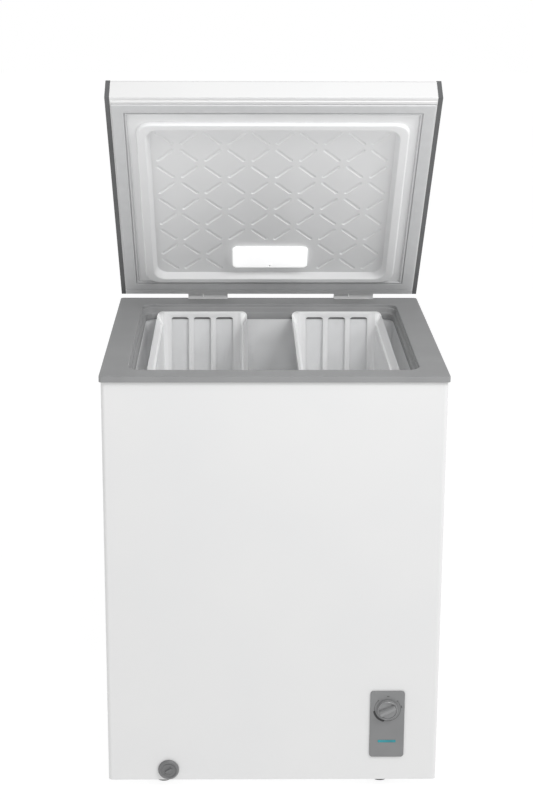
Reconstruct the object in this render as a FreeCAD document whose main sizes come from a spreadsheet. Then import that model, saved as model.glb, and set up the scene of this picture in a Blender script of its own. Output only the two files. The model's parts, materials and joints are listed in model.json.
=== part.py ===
"""Chest freezer of the 142 litre class, standing with its lid open.

Frame: +X to the right as seen from the front, +Y to the back, +Z up, millimetres. The origin is on the
floor under the middle of the cabinet. The lid is drawn closed and then turned to its open rest.
"""
import FreeCAD, Part
import math
import os
import re
from FreeCAD import Placement, Rotation, Vector
from Sketcher import Constraint

DIMENSIONS = {
    # cabinet
    "frame_width": 620, "frame_depth": 565, "frame_top": 807, "frame_lip": 10.5, "frame_skin": 2.5,
    "frame_corner": 6, "frame_edge": 1.2, "body_width": 614, "body_depth": 557, "body_bottom": 16,
    "panel_skin": 0.8,
    "sheet_return": 10, "sheet_bend": 7, "plate_inset": 2.2,
    # the opening through the top frame, its basket ledge and the well below
    "open_half": 261, "open_front": -238.5, "open_back": 227.5, "open_corner": 24,
    "ledge_width": 7, "ledge_height": 790, "frame_wall_bottom": 777, "wall_skin": 2,
    "liner_skin": 1, "well_floor": 71, "hump_side": 78, "hump_top": 305,
    # compressor bay, under the step in the well
    "bay_side": 138, "bay_top": 246, "plate_skin": 1.5,
    "grille_low_y": -44, "grille_low_z": 41, "grille_length": 288, "grille_height": 188, "grille_skin": 2.6,
    "grille_inset": 5.5, "inlet_x": 250, "inlet_z": 60,
    # lid, closed
    "lid_width": 614, "lid_length": 566, "lid_thickness": 47.5, "lid_rear": 267.5, "lid_underside": 812,
    "lid_bend": 8, "lid_skin": 0.7, "lid_flange": 14, "cap_thickness": 8.5, "cap_rise": 2.5,
    "lid_open_angle": 53,
    "gasket_outer": 296, "gasket_inner": 269, "gasket_height": 4.7,
    "dyke_half": 254, "dyke_drop": 8, "dyke_round": 6.5, "dyke_inner": 236, "dyke_skin": 1.2,
    "recess_rise": 6, "groove_room": 2.4,
    "lamp_half": 75.5, "lamp_near": 87, "lamp_far": 144,
    # hinges
    "hinge_line_y": 273.5, "hinge_line_z": 820, "hinge_width": 82, "hinge_split": 31,
    "knuckle_radius": 5.3, "pin_radius": 2.5, "pin_clearance": 0.08, "hinge_plate": 2,
    # baskets
    "basket_inner_x": 46, "basket_width": 185, "basket_top": 792.8, "basket_side_drop": 25,
    "basket_height": 192.8, "basket_wall": 2.5, "basket_end_gap": 2, "basket_hook": 5.5, "basket_rim": 9,
    "window_width": 35.5, "window_pitch": 45.7, "window_top_margin": 10.5, "window_height": 130,
    # controls and drain
    "panel_x": 213, "panel_z": 131, "panel_width": 64, "panel_height": 134.5, "panel_proud": 3,
    "knob_z": 162.5, "knob_radius": 19, "knob_skirt": 7, "shaft_radius": 3, "pointer_angle": 63,
    "light_z": 96.7, "light_width": 33.4, "light_height": 5,
    "drain_x": -194.3, "drain_z": 37.5, "drain_cap_radius": 19.5, "drain_inlet_y": -150,
    "drain_bore": 7.2, "drain_outer": 9,
    # feet
    "foot_x": 204.5, "foot_y": 240, "foot_top_radius": 19, "foot_base_radius": 16,
}

doc = FreeCAD.newDocument("chest_freezer")
sheet = doc.addObject("Spreadsheet::Sheet", "sheet")
for row, (alias, value) in enumerate(DIMENSIONS.items(), start=1):
    sheet.set(f"A{row}", alias)
    sheet.set(f"B{row}", str(value))
    sheet.setAlias(f"B{row}", alias)
doc.recompute()
nodes = []


# ---------------------------------------------------------------- helpers
def mm(alias):
    """A driving dimension, read back from the sheet."""
    return float(sheet.get(alias))


def cells(text):
    """An expression written in dimension names, turned into one that reads the sheet."""
    return re.sub(r"[a-z]+(?:_[a-z]+)*", lambda m: f"sheet.{m[0]}" if m[0] in DIMENSIONS else m[0], str(text))


def place(made, at):
    for axis, text in zip("xyz", at):
        made.setExpression(f"Placement.Base.{axis}", cells(text))


def block(name, x, y, z):
    """A box from its low and high side along each axis."""
    made = doc.addObject("Part::Box", name)
    for size, (low, high) in zip(("Length", "Width", "Height"), (x, y, z)):
        made.setExpression(size, cells(f"({high}) - ({low})"))
    place(made, (x[0], y[0], z[0]))
    return made


AIM = {"x": Rotation(Vector(0, 1, 0), 90), "y": Rotation(Vector(1, 0, 0), -90), "z": Rotation()}
DIRECTION = {"x": Vector(1, 0, 0), "y": Vector(0, 1, 0), "z": Vector(0, 0, 1)}


def rod(name, axis, at, radius, length):
    """A cylinder from a starting point along one axis."""
    made = doc.addObject("Part::Cylinder", name)
    made.setExpression("Radius", cells(radius))
    made.setExpression("Height", cells(length))
    made.Placement = Placement(Vector(), AIM[axis])
    place(made, at)
    return made


def fuse(name, *shapes):
    made = doc.addObject("Part::MultiFuse", name)
    made.Shapes = list(shapes)
    return made


def cut(name, base, *tools):
    made = doc.addObject("Part::Cut", name)
    made.Base = base
    made.Tool = tools[0] if len(tools) == 1 else fuse(f"{name}_tools", *tools)
    return made


def group(name, *shapes):
    """Identical small pieces that share one node."""
    made = doc.addObject("Part::Compound", name)
    made.Links = list(shapes)
    return made


def rounded(name, base, radius, axis, keep=lambda middle: True):
    """The base with its straight edges along one axis rounded."""
    doc.recompute()
    edges = [
        number
        for number, edge in enumerate(base.Shape.Edges, start=1)
        if edge.Curve.TypeId == "Part::GeomLine"
        and abs(edge.tangentAt(edge.FirstParameter).dot(DIRECTION[axis])) > 0.999
        and keep(edge.CenterOfMass)
    ]
    made = doc.addObject("Part::Fillet", name)
    made.Base = base
    made.Edges = [(number, radius, radius) for number in edges]
    return made


def slab(name, x, y, z, radius):
    """A box with rounded upright edges."""
    return rounded(name, block(f"{name}_block", x, y, z), radius, "z")


def finish(made, node):
    made.Label = node
    nodes.append(made)
    return made


def half(alias, inset=0):
    """The span across the middle plane of a full width, less an inset on each side."""
    return f"-{alias} / 2 + ({inset})", f"{alias} / 2 - ({inset})"


def either_side(alias, inset=0):
    """The span across the middle plane of a half width, less an inset on each side."""
    return f"-{alias} + ({inset})", f"{alias} - ({inset})"


def new_body(node, at=None, turn=None):
    body = doc.addObject("PartDesign::Body", node)
    if turn:
        body.Placement = Placement(Vector(), turn)
    if at:
        place(body, at)
    return body


def sketch_on(body, role, name):
    sketch = body.newObject("Sketcher::SketchObject", name)
    plane = next(feature for feature in body.Origin.OriginFeatures if feature.Role == role)
    sketch.AttachmentSupport = [(plane, "")]
    sketch.MapMode = "FlatFace"
    return sketch


def bind(sketch, constraint, value):
    """Add a sized constraint, bound to the sheet when the value is a dimension name."""
    number = sketch.addConstraint(constraint)
    if isinstance(value, str):
        sketch.setExpression(f"Constraints[{number}]", cells(value))


def known(value):
    return mm(value) if isinstance(value, str) else value


def outline(sketch, points):
    """A closed outline through points whose coordinates are dimension names or numbers, none negative."""
    corners = [Vector(known(across), known(up), 0) for across, up in points]
    count = len(corners)
    for number in range(count):
        sketch.addGeometry(Part.LineSegment(corners[number], corners[(number + 1) % count]))
    for number in range(count):
        sketch.addConstraint(Constraint("Coincident", number, 2, (number + 1) % count, 1))
    for number, (across, up) in enumerate(points):
        for kind, axis_line, value in (("DistanceX", -2, across), ("DistanceY", -1, up)):
            if value == 0:
                sketch.addConstraint(Constraint("PointOnObject", number, 1, axis_line))
            else:
                bind(sketch, Constraint(kind, -1, 1, number, 1, known(value)), value)


def rectangle(sketch, width, height, rise=0):
    """A rectangle centred on the sketch's upright axis, its middle at a height."""
    across, up = known(width) / 2, known(height) / 2
    corners = [Vector(-across, rise - up), Vector(across, rise - up), Vector(across, rise + up),
               Vector(-across, rise + up)]
    first = sketch.GeometryCount
    for number in range(4):
        sketch.addGeometry(Part.LineSegment(corners[number], corners[(number + 1) % 4]))
    for number in range(4):
        sketch.addConstraint(Constraint("Coincident", first + number, 2, first + (number + 1) % 4, 1))
    for number, kind in enumerate(("Horizontal", "Vertical", "Horizontal", "Vertical")):
        sketch.addConstraint(Constraint(kind, first + number))
    middle = sketch.addGeometry(Part.Point(Vector(0, rise, 0)), True)
    sketch.addConstraint(Constraint("PointOnObject", middle, 1, -2))
    if rise:
        bind(sketch, Constraint("DistanceY", -1, 1, middle, 1, rise), rise)
    else:
        sketch.addConstraint(Constraint("PointOnObject", middle, 1, -1))
    sketch.addConstraint(Constraint("Symmetric", first, 1, first + 2, 1, middle, 1))
    bind(sketch, Constraint("DistanceX", first, 1, first, 2, 2 * across), width)
    bind(sketch, Constraint("DistanceY", first + 1, 1, first + 1, 2, 2 * up), height)


def circle(sketch, radius):
    number = sketch.addGeometry(Part.Circle(Vector(), Vector(0, 0, 1), known(radius)))
    sketch.addConstraint(Constraint("Coincident", number, 3, -1, 1))
    bind(sketch, Constraint("Radius", number, known(radius)), radius)


def pad(body, sketch, length, back=False):
    made = body.newObject("PartDesign::Pad", f"{body.Name}_{sketch.Name}_pad")
    made.Profile = sketch
    made.Length = known(length)
    if isinstance(length, str):
        made.setExpression("Length", cells(length))
    made.Reversed = back
    return made


def pocket(body, sketch, length, back=False):
    """A pocket that is sure to remove material."""
    doc.recompute()
    before = body.Shape.Volume
    made = body.newObject("PartDesign::Pocket", f"{body.Name}_{sketch.Name}_pocket")
    made.Profile = sketch
    made.Length = known(length)
    made.Reversed = back
    doc.recompute()
    if body.Shape.Volume >= before - 1e-6:
        raise RuntimeError(f"{made.Name} removes nothing")
    return made


def revolve(body, points):
    """A turned piece: an outline of radius and height, revolved about the body's Z axis."""
    sketch = sketch_on(body, "XZ_Plane", f"{body.Name}_profile")
    outline(sketch, points)
    made = body.newObject("PartDesign::Revolution", f"{body.Name}_turned")
    made.Profile = sketch
    made.ReferenceAxis = (sketch, ["V_Axis"])
    made.Angle = 360
    return made


def round_body(body, radius, pick):
    """A PartDesign fillet on the edges that pick keeps."""
    doc.recompute()
    tip = body.Tip
    made = body.newObject("PartDesign::Fillet", f"{body.Name}_fillet_{len(body.Group)}")
    made.Base = (tip, [f"Edge{n}" for n, edge in enumerate(tip.Shape.Edges, start=1) if pick(edge)])
    made.Radius = radius
    return made


def pipe(node, points, radius, bend):
    """A round tube's solid along straight runs joined by tangent arcs."""
    points = [Vector(*point) for point in points]
    edges, start = [], points[0]
    for before, corner, after in zip(points, points[1:], points[2:]):
        into, out = (before - corner).normalize(), (after - corner).normalize()
        angle = into.getAngle(out)
        setback = bend / math.tan(angle / 2)
        middle = corner + (into + out).normalize() * (bend / math.sin(angle / 2) - bend)
        edges.append(Part.LineSegment(start, corner + into * setback).toShape())
        edges.append(Part.Arc(corner + into * setback, middle, corner + out * setback).toShape())
        start = corner + out * setback
    edges.append(Part.LineSegment(start, points[-1]).toShape())
    path = Part.Wire(edges)
    circle_wire = Part.Wire(Part.makeCircle(radius, points[0], points[1] - points[0]))
    made = doc.addObject("Part::Feature", node)
    made.Shape = Part.Wire(path).makePipeShell([circle_wire], True, False)
    expected = math.pi * radius**2 * path.Length
    if abs(made.Shape.Volume - expected) > 0.01 * expected:
        raise RuntimeError(f"{node} has the wrong volume")
    return made


# ---------------------------------------------------------------- cabinet walls
def bent_sheet(name, end):
    """A painted sheet across the front (end -1) or the back (end 1), with its upright edges bent round."""
    def corners(middle):
        return middle.y * end > mm("body_depth") / 2 - 2

    def across(near, far):
        near, far = f"({end}) * (body_depth / 2 - ({near}))", f"({end}) * (body_depth / 2 - ({far}))"
        return (near, far) if end < 0 else (far, near)

    outer = rounded(f"{name}_outer", block(f"{name}_outer_block", half("body_width"),
                                           across(0, "sheet_return"),
                    ("body_bottom", "frame_top - 3")), mm("sheet_bend"), "z", corners)
    inner = rounded(f"{name}_inner", block(f"{name}_inner_block", half("body_width", "panel_skin"),
                    across("panel_skin", "2 * sheet_return"), ("body_bottom - 1", "frame_top")),
                    mm("sheet_bend") - mm("panel_skin"), "z", corners)
    return outer, inner


def grille_corners():
    """The (y, z) places of the grille's four screws."""
    inset = mm("grille_inset")
    low_y, low_z = mm("grille_low_y"), mm("grille_low_z")
    return [(y, z) for y in (low_y + inset, low_y + mm("grille_length") - inset)
            for z in (low_z + inset, low_z + mm("grille_height") - inset)]


def make_panels():
    """Painted sheet steel: front and back panels with bent edges, and two flat sides."""
    outer, inner = bent_sheet("front", -1)
    margin = 4
    control_hole = block("front_control_hole",
                         (f"panel_x - panel_width / 2 + {margin}", f"panel_x + panel_width / 2 - {margin}"),
                         ("-body_depth / 2 - 1", "-body_depth / 2 + 2"),
                         (f"panel_z - panel_height / 2 + {margin}", f"panel_z + panel_height / 2 - {margin}"))
    drain_hole = rod("front_drain_hole", "y", ("drain_x", "-body_depth / 2 - 1", "drain_z"),
                     "drain_outer + 3.2", 3)
    finish(cut("front_panel_cut", outer, inner, control_hole, drain_hole), "front_panel")

    outer, inner = bent_sheet("back", 1)
    gland_hole = rod("gland_hole", "y", ("inlet_x", "body_depth / 2 - 3", "inlet_z"), 9.2, 6)
    finish(cut("back_cut", outer, inner, gland_hole), "rear_panel")

    side_y = half("body_depth", "sheet_return + 0.3")
    side_z = ("body_bottom", "frame_top - 3")
    left = block("left_sheet", ("-body_width / 2", "-body_width / 2 + panel_skin"), side_y, side_z)
    finish(left, "side_panel_left")
    right = block("right_sheet", ("body_width / 2 - panel_skin", "body_width / 2"), side_y, side_z)
    through = ("body_width / 2 - 2", "body_width / 2 + 1")
    rim = "2 * grille_inset"
    vent = block("vent_hole", through, (f"grille_low_y + {rim}", f"grille_low_y + grille_length - {rim}"),
                 (f"grille_low_z + {rim}", f"grille_low_z + grille_height - {rim}"))
    holes = [rod(f"panel_hole_{number}", "x", (through[0], y, z), 2.2, 3) for number,
             (y, z) in enumerate(grille_corners())]
    finish(cut("right_cut", right, vent, *holes), "side_panel_right")


def well_outer(name, grow):
    """The space the liner fills, up to the top frame, grown outwards by a skin."""
    tub = slab(f"{name}_tub", either_side("open_half", f"ledge_width - ({grow})"),
               (f"open_front + ledge_width - ({grow})", f"open_back - ledge_width + ({grow})"),
               (f"well_floor - ({grow})", "frame_wall_bottom - 0.3"), mm("open_corner") - mm("ledge_width"))
    step = block(f"{name}_step", (f"hump_side + ({grow})", "open_half"), ("open_front - 5", "open_back + 5"),
                 ("well_floor - 5", f"hump_top - ({grow})"))
    return cut(name, tub, step)


def make_liner_and_foam(drain_tube):
    """The sheet liner with its step over the compressor bay, and the foam between it and the panels."""
    outer = well_outer("liner_outer", "liner_skin")
    inner = well_outer("liner_inner", "0")
    mouth = slab("liner_mouth", either_side("open_half", "ledge_width"),
                 ("open_front + ledge_width", "open_back - ledge_width"),
                 ("frame_wall_bottom - 5", "frame_wall_bottom + 5"), mm("open_corner") - mm("ledge_width"))
    outlet = rod("liner_outlet", "z", ("drain_x", "drain_inlet_y", "well_floor - 3"), "drain_outer + 0.3", 6)
    finish(cut("liner_cut", outer, inner, mouth, outlet), "inner_liner")

    bulk = block("foam_bulk", half("body_width", "panel_skin + 0.2"), half("body_depth", "panel_skin + 0.2"),
                 ("body_bottom + 1", "frame_top - frame_skin - 0.3"))
    bulk_round = rounded("foam_round", bulk, mm("sheet_bend") - mm("panel_skin"), "z")
    well = well_outer("foam_well", "liner_skin + 0.1")
    under_ledge = slab("foam_under_ledge", either_side("open_half", "-wall_skin - 0.3"),
                       ("open_front - wall_skin - 0.3", "open_back + wall_skin + 0.3"),
                       ("ledge_height - frame_skin - 0.3", "frame_top + 5"), mm("open_corner") + 2)
    under_wall = slab("foam_under_wall", either_side("open_half", "ledge_width - wall_skin - 0.3"),
                      ("open_front + ledge_width - wall_skin - 0.3",
                       "open_back - ledge_width + wall_skin + 0.3"),
                      ("frame_wall_bottom - 0.5", "frame_top"), mm("open_corner") - 5)
    bay = block("foam_bay", ("bay_side", "body_width"), ("-body_depth", "body_depth"), (0, "bay_top"))
    spout = rod("foam_spout", "y", ("drain_x", "-body_depth / 2 - 1", "drain_z"), "drain_outer + 3.2", 22)
    finish(cut("foam_cut", bulk_round, well, under_ledge, under_wall, bay, spout, drain_tube),
           "insulation_foam")
    base = block("base_sheet", ("-body_width / 2 + panel_skin + plate_inset", "bay_side"),
                 half("body_depth", "panel_skin + plate_inset"), ("body_bottom", "body_bottom + panel_skin"))
    finish(base, "base_pan")


def make_breaker_frame():
    """The moulded frame round the mouth: a flat rim, a step to the basket ledge and a wall to the liner."""
    rim = slab("rim_outer", half("frame_width"), half("frame_depth"), ("frame_top - frame_lip", "frame_top"),
               mm("frame_corner"))
    soft = doc.addObject("Part::Fillet", "rim_soft")
    doc.recompute()
    top = [number for number, edge in enumerate(rim.Shape.Edges, start=1)
           if abs(edge.BoundBox.ZMin - mm("frame_top")) < 0.01]
    soft.Base = rim
    soft.Edges = [(number, mm("frame_edge"), mm("frame_edge")) for number in top]
    hollow = slab("rim_hollow", half("frame_width", 2), half("frame_depth", 2),
                  ("frame_top - frame_lip - 1", "frame_top - frame_skin"), mm("frame_corner") - 3.5)
    step = slab("rim_step", either_side("open_half", "-wall_skin"),
                ("open_front - wall_skin", "open_back + wall_skin"),
                ("ledge_height - frame_skin", "frame_top - 0.5"), mm("open_corner") + 2)
    mouth = slab("rim_mouth", either_side("open_half"), ("open_front", "open_back"),
                 ("ledge_height", "frame_top + 1"), mm("open_corner"))
    wall = slab("rim_wall", either_side("open_half", "ledge_width - wall_skin"),
                ("open_front + ledge_width - wall_skin", "open_back - ledge_width + wall_skin"),
                ("frame_wall_bottom", "ledge_height - 0.5"), mm("open_corner") - 5)
    well = slab("rim_well", either_side("open_half", "ledge_width"),
                ("open_front + ledge_width", "open_back - ledge_width"),
                ("frame_wall_bottom - 1", "frame_top + 1"), mm("open_corner") - mm("ledge_width"))
    shell = cut("rim_shell", soft, hollow)
    finish(cut("frame_cut", fuse("rim_all", shell, step, wall), mouth, well), "breaker_frame")


# ---------------------------------------------------------------- drain, feet, controls
def make_drain():
    """The drain: a stopper in the well's floor, a tube to the front, a threaded spout and its outer cap."""
    x, z = mm("drain_x"), mm("drain_z")
    route = [(x, mm("drain_inlet_y"), mm("well_floor")), (x, mm("drain_inlet_y"), z),
             (x, -mm("body_depth") / 2 + 3, z)]
    outer = pipe("drain_tube_outer", route, mm("drain_outer"), 16)
    bore = pipe("drain_tube_bore", route, mm("drain_bore"), 16)
    finish(cut("drain_tube_cut", outer, bore), "drain_tube")
    envelope = pipe("drain_envelope", route, mm("drain_outer") + 0.2, 16)

    barrel = rod("spout_barrel", "y", ("drain_x", "-body_depth / 2 - 4", "drain_z"), "drain_outer + 3", 24)
    flange = rod("spout_flange", "y", ("drain_x", "-body_depth / 2 - 1.5", "drain_z"), "drain_outer + 6", 1.4)
    bore = rod("spout_bore", "y", ("drain_x", "-body_depth / 2 - 5", "drain_z"), "drain_outer + 0.2", 30)
    finish(cut("spout_cut", fuse("spout_all", barrel, flange), bore), "drain_spout")

    cap = new_body("drain_cap", ("drain_x", "-body_depth / 2 - 1.8", "drain_z"),
                   Rotation(Vector(1, 0, 0), 90))
    revolve(cap, [(0, 2.8), (12.4, 2.8), (12.4, 0), (17.5, 0), ("drain_cap_radius", 1.5),
                  ("drain_cap_radius", 4),
                  (17, 6), (14.5, 6), (13, 5), (0, 5)])
    grip = sketch_on(cap, "XY_Plane", "grip")
    rectangle(grip, 4, 17.5)
    pad(cap, grip, 8)
    round_body(cap, 1.2, lambda edge: edge.BoundBox.ZMin > 7.9)
    finish(cap, "drain_cap")

    plug = new_body("drain_plug", ("drain_x", "drain_inlet_y", "well_floor - 11"))
    revolve(plug, [(0, 0), (6.3, 0), (6.6, 11.3), (15, 11.3), (15, 13), (13, 15), (4, 15), (4, 22), (0, 22)])
    finish(plug, "drain_plug")
    return envelope


def make_feet():
    for front, y_text in (("front", "-foot_y"), ("rear", "foot_y")):
        for side, x_text in (("left", "-foot_x"), ("right", "foot_x")):
            foot = new_body(f"foot_{front}_{side}", (x_text, y_text, 0))
            revolve(foot, [(0, 0), ("foot_base_radius", 0), ("foot_top_radius", 13),
                           ("foot_top_radius", "body_bottom"),
                           (0, "body_bottom")])
            finish(foot, f"foot_{front}_{side}")


def make_controls():
    """The control panel with its thermostat, knob, and the light bar under it."""
    plate = new_body("control_plate", ("panel_x", "-body_depth / 2", "panel_z"))
    face = sketch_on(plate, "XZ_Plane", "face")
    rectangle(face, "panel_width", "panel_height")
    pad(plate, face, "panel_proud")
    round_body(plate, 6, lambda edge: abs(edge.tangentAt(edge.FirstParameter).y) > 0.999)
    round_body(plate, 1, lambda edge: edge.BoundBox.YMax < -mm("panel_proud") + 0.01)
    seat = sketch_on(plate, "XZ_Plane", "seat")
    rectangle(seat, 55, 125.5)
    pad(plate, seat, 12, back=True)
    hollow = sketch_on(plate, "XZ_Plane", "hollow")
    rectangle(hollow, 51, 121.5)
    pocket(plate, hollow, 12)
    shaft_hole = sketch_on(plate, "XZ_Plane", "shaft_hole")
    shaft_y = mm("knob_z") - mm("panel_z")
    number = shaft_hole.addGeometry(Part.Circle(Vector(0, shaft_y, 0), Vector(0, 0, 1), 4))
    shaft_hole.addConstraint(Constraint("PointOnObject", number, 3, -2))
    shaft_hole.addConstraint(Constraint("DistanceY", -1, 1, number, 3, shaft_y))
    shaft_hole.addConstraint(Constraint("Radius", number, 4))
    pocket(plate, shaft_hole, 4, back=True)
    lens_hole = block("lens_hole", ("panel_x - light_width / 2 - 0.1", "panel_x + light_width / 2 + 0.1"),
                      ("-body_depth / 2 - 5", "-body_depth / 2 + 2"),
                      ("light_z - light_height / 2 - 0.1", "light_z + light_height / 2 + 0.1"))
    finish(cut("control_cut", plate, lens_hole), "control_panel")

    lens = rounded("lens", block("lens_block", ("panel_x - light_width / 2", "panel_x + light_width / 2"),
                   ("-body_depth / 2 - 3.4", "-body_depth / 2 + 1"),
                   ("light_z - light_height / 2", "light_z + light_height / 2")), 1.2, "y")
    finish(lens, "indicator_lens")
    board = block("board", ("panel_x - 22", "panel_x + 22"), ("-body_depth / 2 + 5", "-body_depth / 2 + 6.6"),
                  ("light_z - 8", "light_z + 8"))
    lights = [rod(f"light_{number}", "y", (f"panel_x + {x}", "-body_depth / 2 + 2", "light_z"), 1.8, 4)
              for number, x in enumerate((-10, 0, 10))]
    finish(fuse("board_all", board, *lights), "indicator_board")

    case = block("thermostat_case", ("panel_x - 22", "panel_x + 22"),
                 ("-body_depth / 2 + 3", "-body_depth / 2 + 34"),
                 ("knob_z - 17", "knob_z + 17"))
    collar = rod("thermostat_collar", "y", ("panel_x", "-body_depth / 2 + 0.5", "knob_z"), 6, 5)
    shaft = rod("thermostat_shaft", "y", ("panel_x", "-body_depth / 2 - 11", "knob_z"), "shaft_radius", 16)
    x, y, z = mm("panel_x"), -mm("body_depth") / 2 + 26, mm("knob_z")
    bulb_line = pipe("bulb_line", [(x, y, z + 15), (x, y, z + 70), (x + 30, y, z + 150),
                                   (x + 30, y, z + 460)], 1.1, 20)
    finish(fuse("thermostat_all", case, collar, shaft, bulb_line), "thermostat")

    knob = new_body("knob", ("panel_x", "-body_depth / 2 - panel_proud - 0.5", "knob_z"),
                    Rotation(Vector(1, 0, 0), 90))
    revolve(knob, [(0, 0), ("knob_radius", 0), ("knob_radius", 4), (17.5, "knob_skirt"), (0, "knob_skirt")])
    grip = sketch_on(knob, "XY_Plane", "knob_grip")
    rectangle(grip, 7, 34)
    pad(knob, grip, 12.5)
    round_body(knob, 1.2, lambda edge: edge.BoundBox.ZMin > 12.4)
    seat = sketch_on(knob, "XY_Plane", "knob_seat")
    circle(seat, 3.06)
    pocket(knob, seat, 9.5, back=True)
    knob.Label = "knob_straight"
    turned = doc.addObject("Part::Feature", "knob_turned")
    doc.recompute()
    turned.Shape = knob.Shape.copy()
    centre = Vector(mm("panel_x"), 0, mm("knob_z"))
    turned.Placement = Placement(Vector(), Rotation(Vector(0, 1, 0), mm("pointer_angle")),
                                 centre).multiply(knob.Placement)
    finish(turned, "thermostat_knob")


# ---------------------------------------------------------------- refrigeration
def make_refrigeration():
    """Compressor on its plate, with the pipes to the condenser behind and the evaporator round the liner."""
    plate = block("plate_sheet", ("bay_side + 0.3", "body_width / 2 - panel_skin - plate_inset"),
                  half("body_depth", "panel_skin + plate_inset"), ("body_bottom", "body_bottom + plate_skin"))
    finish(plate, "compressor_plate")
    x, y, plate_top = 222, 120, mm("body_bottom") + mm("plate_skin")
    legs = [(x + side * 62, y + end * 50) for side in (-1, 1) for end in (-1, 1)]
    grommets, bolts, holes = [], [], []
    for number, (leg_x, leg_y) in enumerate(legs):
        sleeve = rod(f"grommet_{number}_sleeve", "z", (leg_x, leg_y, plate_top), 10, 12)
        bore = rod(f"grommet_{number}_bore", "z", (leg_x, leg_y, plate_top - 1), 3.2, 14)
        grommets.append(cut(f"grommet_{number}", sleeve, bore))
        shank = rod(f"bolt_{number}_shank", "z", (leg_x, leg_y, plate_top), 3, 18)
        head = rod(f"bolt_{number}_head", "z", (leg_x, leg_y, plate_top + 15.2), 7, 4)
        bolts.append(fuse(f"bolt_{number}", shank, head))
        holes.append(rod(f"leg_hole_{number}", "z", (leg_x, leg_y, plate_top + 11), 3.2, 6))
    finish(group("grommet_group", *grommets), "compressor_grommets")
    finish(group("bolt_group", *bolts), "compressor_bolts")
    feet = slab("compressor_feet", (x - 74, x + 74), (y - 62, y + 62), (plate_top + 12, plate_top + 15), 10)
    can = new_body("can", (x, y, plate_top + 14))
    revolve(can, [(0, 0), (50, 0), (66, 10), (70, 26), (70, 84), (73, 86), (73, 90), (70, 92), (69, 120),
                  (58, 142),
                  (34, 156), (0, 160)])
    terminal_seat = block("terminal_seat", (x - 22, x + 22), (y - 73, y - 60),
                          (plate_top + 40, plate_top + 80))
    finish(cut("compressor_cut", fuse("compressor_all", feet, can, terminal_seat), *holes), "compressor")
    cover = rounded("terminal_cover", block("terminal_block", (x - 27, x + 27), (y - 100, y - 73.2),
                    (plate_top + 34, plate_top + 88)), 5, "y")
    finish(cover, "terminal_cover")

    top, back = plate_top + 14, mm("body_depth") / 2 - 4.5
    coil_gap = 4
    side = mm("open_half") - mm("ledge_width") + coil_gap
    front = mm("open_front") + mm("ledge_width") - coil_gap
    rear = mm("open_back") - mm("ledge_width") + coil_gap
    enter, start, pitch, shift, loops = 90, 340, 84, 36, 5
    leave, coil_top = enter - loops * shift, start + pitch * (loops - 1) + 25
    riser, tail = 292, 170
    suction_y = rear + 2
    finish(pipe("suction_pipe", [(x - 20, y + 20, top + 158), (x - 20, y + 20, top + 185),
                                 (160, y + 20, top + 185),
                                 (160, 252, top + 185), (160, 252, coil_top + 34),
                                 (leave, 252, coil_top + 34),
                                 (leave, suction_y, coil_top + 34), (leave, suction_y, coil_top + 0.2)], 4,
                10),
           "suction_pipe")
    finish(pipe("discharge_pipe", [(x + 35, y + 25, top + 150), (x + 35, y + 25, top + 172),
                                   (277, 190, top + 172),
                                   (277, 250, top + 172), (277, 250, 135), (riser, back, 135),
                                   (riser, back, tail - 0.2)],
                3, 8), "discharge_pipe")
    drier = new_body("drier", (170, 235, 70))
    revolve(drier, [(0, 0), (3, 0), (3, 8), (10, 18), (10, 92), (3, 102), (3, 110), (0, 110)])
    finish(drier, "filter_drier")
    finish(pipe("capillary", [(170, 235, 180.3), (170, 235, 228), (140, 235, 262), (enter, rear, 290),
                              (enter, rear, start - 25.2)], 1.2, 9), "capillary_tube")

    left, right, low, passes, rise = -276, 262, 300, 6, 85
    route = [(riser, back, tail), (riser, back, low + rise * (passes - 1))]
    for number in range(passes):
        height = low + rise * (passes - 1 - number)
        far = left if number % 2 == 0 else right
        route.append((far, back, height))
        if number < passes - 1:
            route.append((far, back, height - rise))
    route += [(right, back, 43), (170, back, 43), (170, 235, 43), (170, 235, 69.8)]
    finish(pipe("condenser", route, 2.4, 10), "condenser_coil")

    route = [(enter, rear, start - 25)]
    for number in range(loops):
        height = start + pitch * number
        route += [(enter, rear, height), (side, rear, height), (side, front, height), (-side, front, height),
                  (-side, rear, height), (enter - shift, rear, height)]
        enter -= shift
    route.append((enter, rear, coil_top))
    finish(pipe("evaporator", route, 2.5, 12), "evaporator_coil")


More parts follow.
